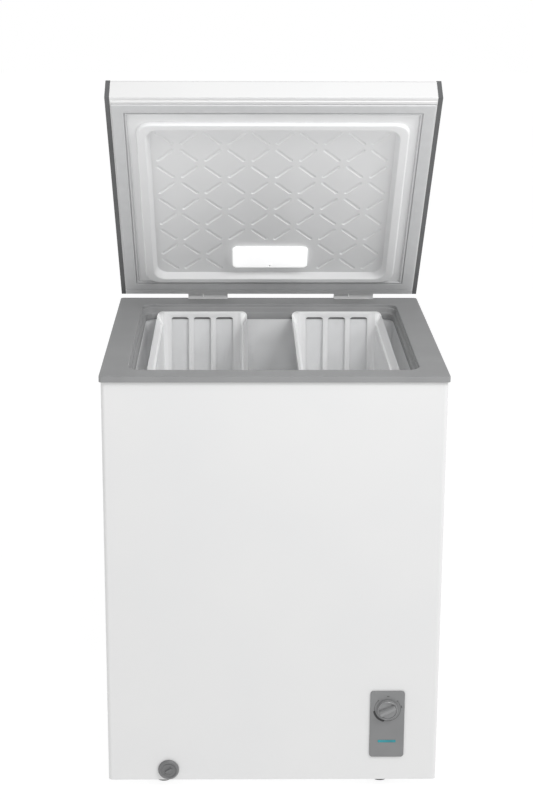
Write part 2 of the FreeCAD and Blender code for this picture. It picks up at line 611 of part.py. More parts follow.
def make_vent_and_inlet():
    """The louvred grille over the compressor bay, its screws, and the gland for the mains lead."""
    face_x = mm("body_width") / 2 + 0.05
    grille = new_body("grille", (face_x, "grille_low_y", "grille_low_z"), Rotation(Vector(0, 0, 1), 90))
    face = sketch_on(grille, "XZ_Plane", "grille_face")
    outline(face, [(0, 0), ("grille_length", 0), ("grille_length", "grille_height"), (0, "grille_height")])
    pad(grille, face, "grille_skin")
    round_body(grille, 6, lambda edge: abs(edge.tangentAt(edge.FirstParameter).y) > 0.999)
    slot = sketch_on(grille, "XZ_Plane", "grille_slot")
    slot_end, slot_start, slot_width, slots, pitch = 16, 15, 6, 22, 12
    low, high = slot_end, mm("grille_height") - slot_end
    outline(slot, [(slot_start, low), (slot_start + slot_width, low), (slot_start + slot_width, high),
                   (slot_start, high)])
    first = pocket(grille, slot, 5, back=True)
    pattern = grille.newObject("PartDesign::LinearPattern", "grille_slots")
    pattern.Originals = [first]
    pattern.Direction = (slot, ["H_Axis"])
    pattern.Length = pitch * (slots - 1)
    pattern.Occurrences = slots
    grille.Tip = pattern
    shafts, sinks, screws = [], [], []
    for number, (y, z) in enumerate(grille_corners()):
        shafts.append(rod(f"grille_hole_{number}", "x", (face_x - 2, y, z), 2.2, 6))
        sinks.append(rod(f"grille_sink_{number}", "x", (face_x + 1.2, y, z), 4.2, 3))
        screws.append(fuse(f"grille_screw_{number}",
                           rod(f"grille_shank_{number}", "x", (face_x - 12, y, z), 2, 14),
                           rod(f"grille_head_{number}", "x", (face_x + 1.3, y, z), 4, 1.2)))
    finish(cut("grille_cut", grille, *shafts, *sinks), "side_grille")
    finish(group("grille_screw_group", *screws), "grille_screws")

    barrel = rod("gland_barrel", "y", ("inlet_x", "body_depth / 2 - 10", "inlet_z"), 9, 16)
    flange = rod("gland_flange", "y", ("inlet_x", "body_depth / 2 + 0.1", "inlet_z"), 13, 2.4)
    bore = rod("gland_bore", "y", ("inlet_x", "body_depth / 2 - 12", "inlet_z"), 3.8, 24)
    finish(cut("gland_cut", fuse("gland_all", barrel, flange), bore), "cord_inlet")


# ---------------------------------------------------------------- hinges
HINGES = {"left": -168.5, "right": 135.5}


def make_hinges():
    """Two sprung hinges: a bracket on the cabinet, a leaf on the lid's rear face, and a pin through both."""
    cabinet_screws, lid_screws = [], []
    for side, start in HINGES.items():
        end, split = f"{start} + hinge_width", f"{start} + hinge_split"
        rear = "frame_depth / 2 + 0.3"
        axle = ("hinge_line_y", "hinge_line_z")
        knuckle = rod(f"base_knuckle_{side}", "x", (f"{split} + 0.5", *axle), "knuckle_radius",
                      "hinge_width - hinge_split - 0.5")
        web = block(f"base_web_{side}", (f"{split} + 0.5", end), ("hinge_line_y - 3", "hinge_line_y + 3"),
                    ("frame_top + 0.3", "hinge_line_z"))
        strap = block(f"base_strap_{side}", (start, end), ("hinge_line_y - 3", f"{rear} + hinge_plate"),
                      ("frame_top + 0.3", "frame_top + 2.5"))
        sill = block(f"base_sill_{side}", (start, f"{split} - 0.5"), ("hinge_line_y - 3", "hinge_line_y + 3"),
                     ("frame_top + 0.3", "hinge_line_z - knuckle_radius - 0.4"))
        plate = block(f"base_plate_{side}", (start, end), (rear, f"{rear} + hinge_plate"),
                      (722, "frame_top + 2.5"))
        cheeks = [block(f"base_cheek_{side}_{number}", (f"{start} + {x}", f"{start} + {x} + 2"),
                        (f"{rear} + 1", f"{rear} + 13"), (726, 800)) for number, x in enumerate((20, 60))]
        seat = block(f"base_seat_{side}", (f"{start} + 20", f"{start} + 62"), (f"{rear} + 1", f"{rear} + 13"),
                     (726, 728))
        bore = rod(f"base_bore_{side}", "x", (f"{start} - 1", *axle), "pin_radius", "hinge_width + 2")
        spots = [(start + x, z) for x in (9, mm("hinge_width") - 9) for z in (738, 788)]
        holes = [rod(f"base_hole_{side}_{number}", "y", (x, "frame_depth / 2 - 2", z), 2.6, 8)
                 for number, (x, z) in enumerate(spots)]
        whole = fuse(f"base_all_{side}", knuckle, web, sill, strap, plate, *cheeks, seat)
        finish(cut(f"base_cut_{side}", whole, bore, *holes), f"hinge_bracket_{side}")
        for number, (x, z) in enumerate(spots):
            shank = rod(f"screw_shank_{side}_{number}", "y", (x, "frame_depth / 2 - 14", z), 2.3, 17)
            head = rod(f"screw_head_{side}_{number}", "y", (x, f"{rear} + hinge_plate + 0.05", z), 4.4, 2)
            cabinet_screws.append(fuse(f"screw_{side}_{number}", shank, head))

        finish(rod(f"pin_rod_{side}", "x", (f"{start} - 1.5", *axle), "pin_radius", "hinge_width + 3"),
               f"hinge_pin_{side}")
        helix = Part.makeHelix(6, 60, 4.4)
        wire_end = Part.Wire(Part.makeCircle(0.9, Vector(4.4, 0, 0), Vector(0, 1, 0.217)))
        spring = doc.addObject("Part::Feature", f"spring_{side}")
        spring.Shape = Part.Wire(helix.Edges).makePipeShell([wire_end], True, True)
        spring.Placement = Placement(Vector(start + 41, mm("frame_depth") / 2 + 8.6, 729.5), Rotation())
        finish(spring, f"hinge_spring_{side}")
        outer = block(f"cover_outer_{side}", (f"{start} + 17", f"{start} + 65"),
                      (f"{rear} + hinge_plate + 0.3", f"{rear} + 16"), (722, 804))
        soft = rounded(f"cover_soft_{side}", outer, 4, "z",
                       lambda middle: middle.y > mm("frame_depth") / 2 + 10)
        inner = block(f"cover_inner_{side}", (f"{start} + 18.6", f"{start} + 63.4"), (rear, f"{rear} + 14.4"),
                      (723.6, 802.4))
        finish(cut(f"cover_cut_{side}", soft, inner), f"hinge_cover_{side}")

        face = "lid_rear + 0.2"
        leaf = block(f"leaf_plate_{side}", (start, end), (face, f"{face} + hinge_plate"),
                     ("hinge_line_z + 7", "hinge_line_z + 32"))
        arm = block(f"leaf_arm_{side}", (start, f"{split} - 0.5"), (face, f"{face} + hinge_plate"),
                    ("hinge_line_z + 2", "hinge_line_z + 8"))
        roll = rod(f"leaf_knuckle_{side}", "x", (start, *axle), "knuckle_radius", "hinge_split - 0.5")
        leaf_bore = rod(f"leaf_bore_{side}", "x", (f"{start} - 1", *axle), "pin_radius + pin_clearance",
                        "hinge_split + 2")
        leaf_spots = [start + 12, start + mm("hinge_width") - 12]
        leaf_holes = [rod(f"leaf_hole_{side}_{number}", "y", (x, "lid_rear - 1", "hinge_line_z + 20"), 2.4, 5)
                      for number, x in enumerate(leaf_spots)]
        finish_lid(cut(f"leaf_cut_{side}", fuse(f"leaf_all_{side}", leaf, arm, roll), leaf_bore, *leaf_holes),
                   f"hinge_leaf_{side}")
        for number, x in enumerate(leaf_spots):
            shank = rod(f"leaf_shank_{side}_{number}", "y", (x, "lid_rear - 10", "hinge_line_z + 20"), 2.2,
                        13)
            head = rod(f"leaf_head_{side}_{number}", "y",
                       (x, f"{face} + hinge_plate + 0.05", "hinge_line_z + 20"),
                       4, 1.6)
            lid_screws.append(fuse(f"leaf_screw_{side}_{number}", shank, head))
    finish(group("cabinet_screw_group", *cabinet_screws), "hinge_screws_cabinet")
    finish_lid(group("lid_screw_group", *lid_screws), "hinge_screws_lid")


# ---------------------------------------------------------------- lid
def finish_lid(made, node):
    """Turn a lid piece from where it is drawn, closed, to the open rest."""
    axle = Vector(0, mm("hinge_line_y"), mm("hinge_line_z"))
    opening = Placement(Vector(), Rotation(Vector(-1, 0, 0), mm("lid_open_angle")), axle)
    made.Placement = opening.multiply(made.Placement)
    return finish(made, node)


def lid_span(near, far):
    """A span along the lid, given as distances from its rear edge."""
    return f"lid_rear - ({far})", f"lid_rear - ({near})"


def height_span(low, high):
    return f"lid_underside + ({low})", f"lid_underside + ({high})"


def make_lid():
    """Sheet skin over foam, a dished liner with a raised dyke, a gasket and two moulded end caps."""
    between_caps = either_side("lid_width / 2", "cap_thickness + 0.2")
    everything = (-1, "lid_length + 1")
    outer = rounded("skin_outer", block("skin_outer_block", between_caps, lid_span(0, "lid_length"),
                    height_span(0, "lid_thickness")), mm("lid_bend"), "x",
                    lambda middle: middle.z > mm("lid_underside") + 10)
    inner = rounded("skin_inner", block("skin_inner_block", either_side("lid_width"),
                    lid_span("lid_skin", "(lid_length - lid_skin)"),
                    height_span("lid_skin", "lid_thickness - lid_skin")), mm("lid_bend") - mm("lid_skin"),
                    "x",
                    lambda middle: middle.z > mm("lid_underside") + 10)
    gap = block("skin_gap", either_side("lid_width"), lid_span("lid_flange", "(lid_length - lid_flange)"),
                height_span(-1, 3))
    finish_lid(cut("skin_cut", outer, inner, gap), "lid_skin")
    for side, sign in (("left", -1), ("right", 1)):
        span = ("-lid_width / 2", "-lid_width / 2 + cap_thickness") if sign < 0 else \
            ("lid_width / 2 - cap_thickness", "lid_width / 2")
        cap_block = block(f"cap_block_{side}", span, lid_span(0, "lid_length"),
                          height_span(0, "lid_thickness + cap_rise"))
        cap_bent = rounded(f"cap_bent_{side}", cap_block, mm("lid_bend") + 2, "x",
                           lambda middle: middle.z > mm("lid_underside") + 10)
        finish_lid(cap_bent, f"lid_cap_{side}")

    def tray(name, half_width, near, far, low, high, radius, under=0):
        """A plate with rounded corners, and its lower edge rounded where a radius is given."""
        made = slab(name, (f"-{half_width}", half_width), lid_span(near, far), height_span(low, high), radius)
        if not under:
            return made
        doc.recompute()
        lowest = made.Shape.BoundBox.ZMin
        soft = doc.addObject("Part::Fillet", f"{name}_under")
        soft.Base = made
        soft.Edges = [(number, under, under) for number, edge in enumerate(made.Shape.Edges, start=1)
                      if edge.BoundBox.ZMax < lowest + 0.01]
        return soft

    flange = tray("liner_flange", "gasket_outer", "lid_flange + 1", "(lid_length - lid_flange - 1)", 0,
                  "dyke_skin", 2)
    dyke_round, skin = mm("dyke_round"), mm("dyke_skin")
    dyke = tray("dyke_outer", "dyke_half", 46, 503.5, "-dyke_drop", "dyke_skin", 26, dyke_round)
    hollow = tray("dyke_hollow", "(dyke_half - dyke_skin)", 47.2, 502.3, "-dyke_drop + dyke_skin",
                  "dyke_skin + 1", 24.8,
                  dyke_round - skin)
    well = tray("dyke_well", "(dyke_inner + dyke_skin)", 54.8, 493.2, "-dyke_drop", "recess_rise + dyke_skin",
                19.2)
    dish = tray("dish", "dyke_inner", 56, 492, "-dyke_drop - 1", "recess_rise", 18)
    window = block("lamp_window", (-58, 58), lid_span("(lamp_near + 10)", "(lamp_far - 9)"),
                   height_span(0, 12))
    finish_lid(cut("lid_liner_cut", fuse("lid_liner_all",
                                         cut("dyke_shell", fuse("dyke_plate", flange, dyke), hollow),
                   well), dish, window), "lid_liner")

    core = block("core", between_caps, lid_span("(lid_skin + 0.1)", "(lid_length - lid_skin - 0.1)"),
                 height_span("dyke_skin + 0.2", "lid_thickness - lid_skin - 0.1"))
    core_round = rounded("core_round", core, mm("lid_bend") - mm("lid_skin"), "x",
                         lambda middle: middle.z > mm("lid_underside") + 10)
    filling = tray("dyke_filling", "(dyke_half - dyke_skin - 0.1)", 47.3, 502.2,
                   "-dyke_drop + dyke_skin + 0.1", 3, 24.7,
                   dyke_round - skin - 0.1)
    recess = tray("core_recess", "(dyke_inner + dyke_skin + 0.1)", 54.7, 493.3, "-dyke_drop",
                  "recess_rise + dyke_skin + groove_room", 19.3)
    pocket_room = block("lamp_room", (-64, 64), lid_span("(lamp_near + 4)", "(lamp_far - 3)"),
                        height_span(0, 31))
    finish_lid(cut("lid_foam_cut", fuse("lid_foam_all", core_round, filling), recess, pocket_room),
               "lid_foam")

    seal = tray("seal_outer", "gasket_outer", 18, 550, "-gasket_height", -0.05, 3)
    seal_inner = tray("seal_inner", "gasket_inner", 43, 525.5, "-gasket_height - 1", 1, 1)
    finish_lid(cut("seal_cut", seal, seal_inner), "lid_gasket")

    cover = rounded("cover_round", block("cover_block", either_side("lamp_half"),
                                         lid_span("lamp_near", "lamp_far"),
                                         height_span(-1, 5.9)), 3, "z")
    cover_inner = block("cover_inner", either_side("lamp_half", "1.5"),
                        lid_span("(lamp_near + 1.5)", "(lamp_far - 1.5)"),
                        height_span(0.5, 8))
    finish_lid(cut("lamp_cover_cut", cover, cover_inner), "lamp_cover")
    holder = block("holder_block", (-57, 57), lid_span("(lamp_near + 11)", "(lamp_far - 10)"),
                   height_span(5, 30))
    holder_inner = block("holder_inner", (-55, 55), lid_span("(lamp_near + 13)", "(lamp_far - 12)"),
                         height_span(2, 28))
    finish_lid(cut("holder_cut", holder, holder_inner), "lamp_holder")
    board = block("lamp_board_sheet", (-45, 20), lid_span(104, 128), height_span(21, 22.6))
    bulbs = [rod(f"lamp_light_{number}", "z", (x, "lid_rear - 116", "lid_underside + 18"), 4, 4)
             for number, x in enumerate((-35, -20, -5, 10))]
    finish_lid(fuse("lamp_board_all", board, *bulbs), "lamp_board")
    can = rod("switch_can", "x", (28, "lid_rear - 116", "lid_underside + 20"), 6, 22)
    stem = rod("switch_stem", "x", (22, "lid_rear - 116", "lid_underside + 20"), 2, 7)
    finish_lid(fuse("switch_all", can, stem), "tilt_switch")


# ---------------------------------------------------------------- baskets
def make_basket(side, low, high):
    """A moulded basket: its flat rim is low at the sides, and raised at the ends where it hangs."""
    front = "open_front + ledge_width + basket_end_gap"
    back = "open_back - ledge_width - basket_end_gap"
    floor = "basket_top - basket_height"
    side_top = "basket_top - basket_side_drop"
    ends = (("front", f"{front} - basket_hook", front, 1), ("back", f"{back} + basket_hook", back, -1))
    outer = slab(f"{side}_outer", (f"{low} + basket_rim", f"{high} - basket_rim"), (front, back),
                 (floor, "basket_top"), 8)
    inner = slab(f"{side}_inner", (f"{low} + basket_rim + basket_wall", f"{high} - basket_rim - basket_wall"),
                 (f"{front} + basket_wall", f"{back} - basket_wall"),
                 (f"{floor} + basket_wall", "basket_top + 1"), 5.5)
    lowered = block(f"{side}_lowered", (f"{low} - 1", f"{high} + 1"), (f"{front} + 10", f"{back} - 10"),
                    (side_top, "basket_top + 2"))
    rims = [block(f"{side}_rim_{number}", span, (front, back), (f"{side_top} - basket_wall", side_top))
            for number, span in enumerate(((low, f"{low} + basket_rim + 1"),
                                           (f"{high} - basket_rim - 1", high)))]
    plates, hooks = [], []
    for end, hook_face, wall_face, inwards in ends:
        wall_span = (wall_face,
                     f"{wall_face} + basket_wall") if inwards > 0 else (f"{wall_face} - basket_wall",
                                                                        wall_face)
        plate = block(f"{side}_plate_{end}", (low, high), wall_span,
                      (f"{side_top} - basket_wall", "basket_top"))
        plates.append(rounded(f"{side}_plate_round_{end}", plate, 8, "y",
                              lambda middle: middle.z > mm("basket_top") - 1))
        hook_span = (hook_face, f"{wall_face} + 1") if inwards > 0 else (f"{wall_face} - 1", hook_face)
        hooks.append(block(f"{side}_hook_{end}", (f"{low} + 8", f"{high} - 8"), hook_span,
                           ("ledge_height + 0.3", "basket_top")))
    windows = []
    for number in (-1, 0, 1):
        centre = f"(({low} + {high}) / 2 + {number} * window_pitch)"
        opening = block(f"{side}_window_{number + 1}",
                        (f"{centre} - window_width / 2", f"{centre} + window_width / 2"),
                        (f"{front} - 10", f"{back} + 10"),
                        ("basket_top - window_top_margin - window_height", "basket_top - window_top_margin"))
        windows.append(rounded(f"{side}_window_round_{number + 1}", opening, 5, "y"))
    tub = cut(f"{side}_tub", outer, inner, lowered)
    return cut(f"{side}_basket_cut", fuse(f"{side}_basket_all", tub, *rims, *plates, *hooks), *windows)


# ---------------------------------------------------------------- assembly
def check_and_write():
    """Refuse a failed feature or a bad shape, then write one file for each node."""
    doc.recompute()
    failed = [made.Name for made in doc.Objects if {"Invalid", "Error"} & set(made.State)]
    if failed:
        raise RuntimeError(f"failed features: {failed}")
    for made in nodes:
        if made.Shape.isNull() or not made.Shape.isValid():
            raise RuntimeError(f"{made.Label} has a bad shape")
    os.makedirs("parts", exist_ok=True)
    for made in nodes:
        made.Shape.exportStep(f"parts/{made.Label}.step")
        box = made.Shape.BoundBox
        print(f"{made.Label:24s} {len(made.Shape.Solids):3d} solids  x {box.XMin:7.1f} {box.XMax:7.1f}"
              f"  y {box.YMin:7.1f} {box.YMax:7.1f}  z {box.ZMin:7.1f} {box.ZMax:7.1f}")


make_panels()
make_liner_and_foam(make_drain())
make_breaker_frame()
make_feet()
make_controls()
make_refrigeration()
make_vent_and_inlet()
make_hinges()
make_lid()
finish(make_basket("left", "-basket_inner_x - basket_width", "-basket_inner_x"), "basket_left")
finish(make_basket("right", "basket_inner_x", "basket_inner_x + basket_width"), "basket_right")
check_and_write()
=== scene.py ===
# %% [markdown]
# # A small chest freezer with its lid open
# This lesson dresses a finished CAD model of a chest freezer. The CAD gives every hard piece its place and
# size. Here each surface gets its finish, and the moulded pieces that CAD keeps plain are modelled again in
# full. The lengths are metres, +X is to the right as seen from the front, +Y is to the back and +Z is up.

# %% Load the frame
import json
import math

import bmesh
import bpy
from mathutils import Matrix, Vector


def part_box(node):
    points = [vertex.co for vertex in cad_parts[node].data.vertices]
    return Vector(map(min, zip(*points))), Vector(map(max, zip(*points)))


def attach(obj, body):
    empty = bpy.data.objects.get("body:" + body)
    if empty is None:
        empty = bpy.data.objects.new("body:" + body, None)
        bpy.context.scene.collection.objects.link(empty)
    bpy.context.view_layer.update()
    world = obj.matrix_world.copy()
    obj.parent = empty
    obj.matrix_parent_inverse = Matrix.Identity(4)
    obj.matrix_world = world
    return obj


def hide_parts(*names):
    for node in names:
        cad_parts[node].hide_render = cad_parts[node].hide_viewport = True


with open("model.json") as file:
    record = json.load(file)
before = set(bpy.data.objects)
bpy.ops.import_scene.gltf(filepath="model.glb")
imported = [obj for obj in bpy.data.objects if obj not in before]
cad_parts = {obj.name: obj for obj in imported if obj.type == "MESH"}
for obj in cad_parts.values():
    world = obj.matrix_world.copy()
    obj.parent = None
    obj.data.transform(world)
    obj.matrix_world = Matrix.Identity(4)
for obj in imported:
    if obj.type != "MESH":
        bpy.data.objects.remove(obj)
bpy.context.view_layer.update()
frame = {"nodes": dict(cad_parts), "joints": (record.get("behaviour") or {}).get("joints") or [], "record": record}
MM = 0.001

# %% [markdown]
# ## Camera, floor and light
# A white appliance is shown on a white floor under very soft light, so that only its own shading draws it.
# The camera stands about three metres in front, a little above the open lid, with a long lens. Most of the
# light is the white surroundings. The floor glows a little too, so that it is as white as they are. One large
# soft lamp at the upper right brightens the right side, and two more reach into the open well.

# %% Camera
CAMERA_PLACE = Vector((-0.0647, -2.9584, 1.6303))
CAMERA_PITCH, CAMERA_YAW, CAMERA_ROLL = 14.05, -0.604, 0.179
LENS, SENSOR, SHIFT_X, SHIFT_Y = 71.67, 36, 0.0152, -0.135
camera_data = bpy.data.cameras.new("camera")
camera_data.lens = LENS
camera_data.sensor_width = SENSOR
camera_data.shift_x, camera_data.shift_y = SHIFT_X, SHIFT_Y
camera = bpy.data.objects.new("camera", camera_data)
bpy.context.scene.collection.objects.link(camera)
yaw = Matrix.Rotation(math.radians(CAMERA_YAW), 4, "Z")
pitch = Matrix.Rotation(math.radians(90 - CAMERA_PITCH), 4, "X")
roll = Matrix.Rotation(math.radians(CAMERA_ROLL), 4, "Z")
camera.matrix_world = Matrix.Translation(CAMERA_PLACE) @ yaw @ pitch @ roll
bpy.context.scene.camera = camera
print("camera at", tuple(CAMERA_PLACE))

# %% Selecting in code
def deselect():
    """Nothing selected, so that the next operator acts on the new piece alone."""
    if bpy.context.object and bpy.context.object.mode == "EDIT":
        bpy.ops.object.mode_set(mode="OBJECT")
    for other in bpy.context.selected_objects:
        other.select_set(False)


def named(name):
    """Name the piece that an operator has just added."""
    piece = bpy.context.object
    piece.name = piece.data.name = name
    return piece


def pick(piece, *others):
    """Select these pieces and no others, with the first one active."""
    deselect()
    for chosen in (piece, *others):
        chosen.select_set(True)
    bpy.context.view_layer.objects.active = piece


def join(piece, *others):
    """Join the other pieces, where there are any, into the first one."""
    pick(piece, *others)
    if others:
        bpy.ops.object.join()


def own_copy(piece):
    """A copy of a piece, with a mesh of its own."""
    copy = piece.copy()
    copy.data = piece.data.copy()
    bpy.context.scene.collection.objects.link(copy)
    return copy


def editing(piece):
    """Open one piece for editing with all of it selected."""
    pick(piece)
    bpy.ops.object.mode_set(mode="EDIT")
    bpy.ops.mesh.select_all(action="SELECT")


def choose(piece, kind, rule):
    """In edit mode, select the vertices, edges or faces that obey a rule, and nothing else."""
    mesh = bmesh.from_edit_mesh(piece.data)
    bpy.ops.mesh.select_all(action="DESELECT")
    bpy.ops.mesh.select_mode(type={"verts": "VERT", "edges": "EDGE", "faces": "FACE"}[kind])
    chosen = [element for element in getattr(mesh, kind) if rule(element)]
    for element in chosen:
        element.select_set(True)
    mesh.select_flush_mode()
    bmesh.update_edit_mesh(piece.data)
    return len(chosen)


def stop_editing():
    bpy.ops.object.mode_set(mode="OBJECT")


# %% Floor
FLOOR_SIZE, FLOOR_GREY, FLOOR_GLOW = 24, 0.22, 0.88
deselect()
bpy.ops.mesh.primitive_plane_add(size=FLOOR_SIZE, location=(0, 0, -0.5 * MM))
floor = named("studio_floor")
editing(floor)
bpy.ops.mesh.subdivide(number_cuts=4)
stop_editing()
paper = bpy.data.materials.new("studio_paper")
paper.use_nodes = True
paper_shader = paper.node_tree.nodes["Principled BSDF"]
paper_shader.inputs["Base Color"].default_value = (FLOOR_GREY, FLOOR_GREY, FLOOR_GREY, 1)
paper_shader.inputs["Roughness"].default_value = 0.9
paper_shader.inputs["Emission Color"].default_value = (1, 1, 1, 1)
paper_shader.inputs["Emission Strength"].default_value = FLOOR_GLOW
floor.data.materials.append(paper)
print("floor", FLOOR_SIZE, "m across")

# %% Light
SKY = 0.48
scene = bpy.context.scene
scene.view_settings.view_transform = "Standard"
world = bpy.data.worlds.new("white_studio")
scene.world = world
world.use_nodes = True
nodes, links = world.node_tree.nodes, world.node_tree.links
surroundings = nodes["Background"]
surroundings.inputs["Color"].default_value = (1, 1, 1, 1)
surroundings.inputs["Strength"].default_value = SKY
# behind the object the surroundings are seen at full white, though they light it with less
backdrop = nodes.new("ShaderNodeBackground")
backdrop.inputs["Color"].default_value = (1, 1, 1, 1)
seen_directly = nodes.new("ShaderNodeLightPath")
mixed = nodes.new("ShaderNodeMixShader")
links.new(seen_directly.outputs["Is Camera Ray"], mixed.inputs["Fac"])
links.new(surroundings.outputs["Background"], mixed.inputs[1])
links.new(backdrop.outputs["Background"], mixed.inputs[2])
links.new(mixed.outputs["Shader"], nodes["World Output"].inputs["Surface"])


def soft_lamp(name, place, aim, size, power):
    """A square area lamp that points from its place to an aim."""
    data = bpy.data.lights.new(name, "AREA")
    data.size = size
    data.energy = power
    lamp = bpy.data.objects.new(name, data)
    scene.collection.objects.link(lamp)
    facing = (Vector(aim) - Vector(place)).to_track_quat("-Z", "Y").to_matrix().to_4x4()
    lamp.matrix_world = Matrix.Translation(place) @ facing
    return lamp


soft_lamp("key_lamp", (2.2, -1.7, 2.5), (0, 0, 0.8), 0.9, 18)
soft_lamp("well_lamp", (1.1, -1.6, 2.7), (0, 0.1, 0.7), 0.8, 23)
soft_lamp("mouth_lamp", (-0.1, -0.75, 1.95), (0, 0.05, 0.6), 0.4, 2.5)
print("sky", SKY, "and three soft lamps")

# %% [markdown]
# ## Finishes
# Every finish is a small node tree on Object coordinates, so its pattern has a real size and stays put.
# A texture feeds three things: a slight change of colour, a change of roughness, and a shallow relief.
# Constants stay on the shader's own sockets.

# %% Helpers for finishes
def new_finish(name, colour, roughness, metallic=0.0, coat=0.0):
    material = bpy.data.materials.new(name)
    material.use_nodes = True
    shader = material.node_tree.nodes["Principled BSDF"]
    shader.inputs["Base Color"].default_value = (*colour, 1)
    shader.inputs["Roughness"].default_value = roughness
    shader.inputs["Metallic"].default_value = metallic
    shader.inputs["Coat Weight"].default_value = coat
    return material


def texture(material, kind, scale, stretch=(1, 1, 1), **sockets):
    """A texture of a real size: the scale is in features per metre."""
    tree = material.node_tree
    place = tree.nodes.new("ShaderNodeTexCoord")
    mapping = tree.nodes.new("ShaderNodeMapping")
    made = tree.nodes.new(f"ShaderNodeTex{kind}")
    mapping.inputs["Scale"].default_value = stretch
    made.inputs["Scale"].default_value = scale
    for socket, value in sockets.items():
        made.inputs[socket].default_value = value
    tree.links.new(place.outputs["Object"], mapping.inputs["Vector"])
    tree.links.new(mapping.outputs["Vector"], made.inputs["Vector"])
    return made.outputs[0]


def tint(material, pattern, dark, light, span=(0.3, 0.7)):
    """Colour the surface between two colours along a pattern."""
    tree = material.node_tree
    ramp = tree.nodes.new("ShaderNodeValToRGB")
    for stop, place, colour in zip(ramp.color_ramp.elements, span, (dark, light)):
        stop.position = place
        stop.color = (*colour, 1)
    tree.links.new(pattern, ramp.inputs["Fac"])
    tree.links.new(ramp.outputs["Color"], tree.nodes["Principled BSDF"].inputs["Base Color"])


def vary_roughness(material, pattern, low, high):
    tree = material.node_tree
    spread = tree.nodes.new("ShaderNodeMapRange")
    spread.inputs["To Min"].default_value = low
    spread.inputs["To Max"].default_value = high
    tree.links.new(pattern, spread.inputs["Value"])
    tree.links.new(spread.outputs["Result"], tree.nodes["Principled BSDF"].inputs["Roughness"])


def relief(material, pattern, depth, strength=1.0):
    """Add a shallow relief, on top of any that the finish already has."""
    tree = material.node_tree
    bump = tree.nodes.new("ShaderNodeBump")
    bump.inputs["Distance"].default_value = depth
    bump.inputs["Strength"].default_value = strength
    normal = tree.nodes["Principled BSDF"].inputs["Normal"]
    if normal.is_linked:
        tree.links.new(normal.links[0].from_socket, bump.inputs["Normal"])
    tree.links.new(pattern, bump.inputs["Height"])
    tree.links.new(bump.outputs["Normal"], normal)


# %% [markdown]
# ### Painted sheet
# The cabinet and lid are sheet steel with a baked white coat. It has a fine orange peel, two or three
# millimetres across, and thin sheet is never quite flat, so its reflections bend slowly over a hand's width.

# %% Painted sheet
def painted_sheet(name, shade):
    made = new_finish(name, (shade,) * 3, 0.3, coat=0.35)
    made.node_tree.nodes["Principled BSDF"].inputs["Coat Roughness"].default_value = 0.12
    broad = texture(made, "Noise", 5, Detail=2.0)
    tint(made, broad, (shade - 0.012, shade - 0.01, shade - 0.008),
         (shade + 0.006, shade + 0.006, shade + 0.004))
    peel = texture(made, "Noise", 420, Detail=2.0)
    vary_roughness(made, peel, 0.26, 0.36)
    relief(made, broad, 0.5 * MM, 0.06)
    relief(made, peel, 0.02 * MM, 0.2)
    return made


white_paint = painted_sheet("white_baked_paint", 0.79)
# the hinges get a lighter copy of the same white paint: painted light that offsets the shade they sit in
hinge_paint_lightened_for_shade = painted_sheet("hinge_white_paint", 0.88)
print("painted sheet finishes made")

# %% [markdown]
# ### Moulded plastics
# Moulded parts have a spark-eroded grain well under a millimetre, and slow changes in gloss where the mould
# was polished or the plastic flowed. One function makes them all, from a colour, a gloss and a grain depth.

# %% Moulded plastics
def moulded(name, colour, roughness, grain=0.03, spread=0.02, coat=0.0):
    made = new_finish(name, colour, roughness, coat=coat)
    flow = texture(made, "Noise", 14, Detail=3.0)
    tint(made, flow, [max(part - spread, 0) for part in colour], [part + spread * 0.5 for part in colour])
    fine = texture(made, "Noise", 1300, Detail=1.0)
    vary_roughness(made, flow, roughness - 0.05, roughness + 0.07)
    relief(made, fine, grain * MM, 0.4)
    return made


frame_grey = moulded("frame_grey_plastic", (0.3, 0.302, 0.305), 0.46, grain=0.05)
panel_grey = moulded("control_panel_grey", (0.235, 0.237, 0.24), 0.42, grain=0.03)
dial_grey = moulded("dial_grey_plastic", (0.27, 0.272, 0.275), 0.26, grain=0.015, coat=0.5)
drain_grey = moulded("drain_grey_plastic", (0.19, 0.192, 0.195), 0.45, grain=0.04)
cap_grey = moulded("lid_cap_dark_grey", (0.13, 0.132, 0.135), 0.42, grain=0.05)
white_plastic = moulded("white_moulded_plastic", (0.84, 0.845, 0.85), 0.34, grain=0.03, spread=0.012)
basket_white = moulded("basket_white_plastic", (0.9, 0.903, 0.906), 0.32, grain=0.025, spread=0.01)
liner_plastic = moulded("lid_liner_plastic", (0.86, 0.863, 0.866), 0.3, grain=0.02, spread=0.008, coat=0.25)
black_plastic = moulded("black_moulded_plastic", (0.03, 0.03, 0.032), 0.5, grain=0.06, spread=0.006)
print("moulded plastics made")

# %% [markdown]
# ### Rubber
# The lid's seal is soft extruded vinyl with a faint leathery skin and a chalky bloom. The grommets are black
# rubber.

# %% Rubber
def rubbery(name, colour, roughness, bloom):
    made = new_finish(name, colour, roughness)
    dust = texture(made, "Noise", 60, Detail=5.0)
    tint(made, dust, colour, [part + bloom for part in colour], span=(0.35, 0.75))
    drawn = texture(made, "Noise", 300, Detail=3.0)
    vary_roughness(made, dust, roughness - 0.06, roughness + 0.1)
    relief(made, drawn, 0.02 * MM, 0.1)
    return made


seal_vinyl = rubbery("seal_grey_vinyl", (0.6, 0.605, 0.61), 0.5, 0.03)
black_rubber = rubbery("black_rubber", (0.025, 0.025, 0.025), 0.7, 0.02)
print("rubber made")

# %% [markdown]
# ### Metals
# The well is lined with embossed aluminium sheet, which gives soft mottled reflections. The base pan and the
# compressor plate are galvanised, with flat crystals. Screws and pins are zinc plated, and the pipes are
# copper that has gone dull in patches.

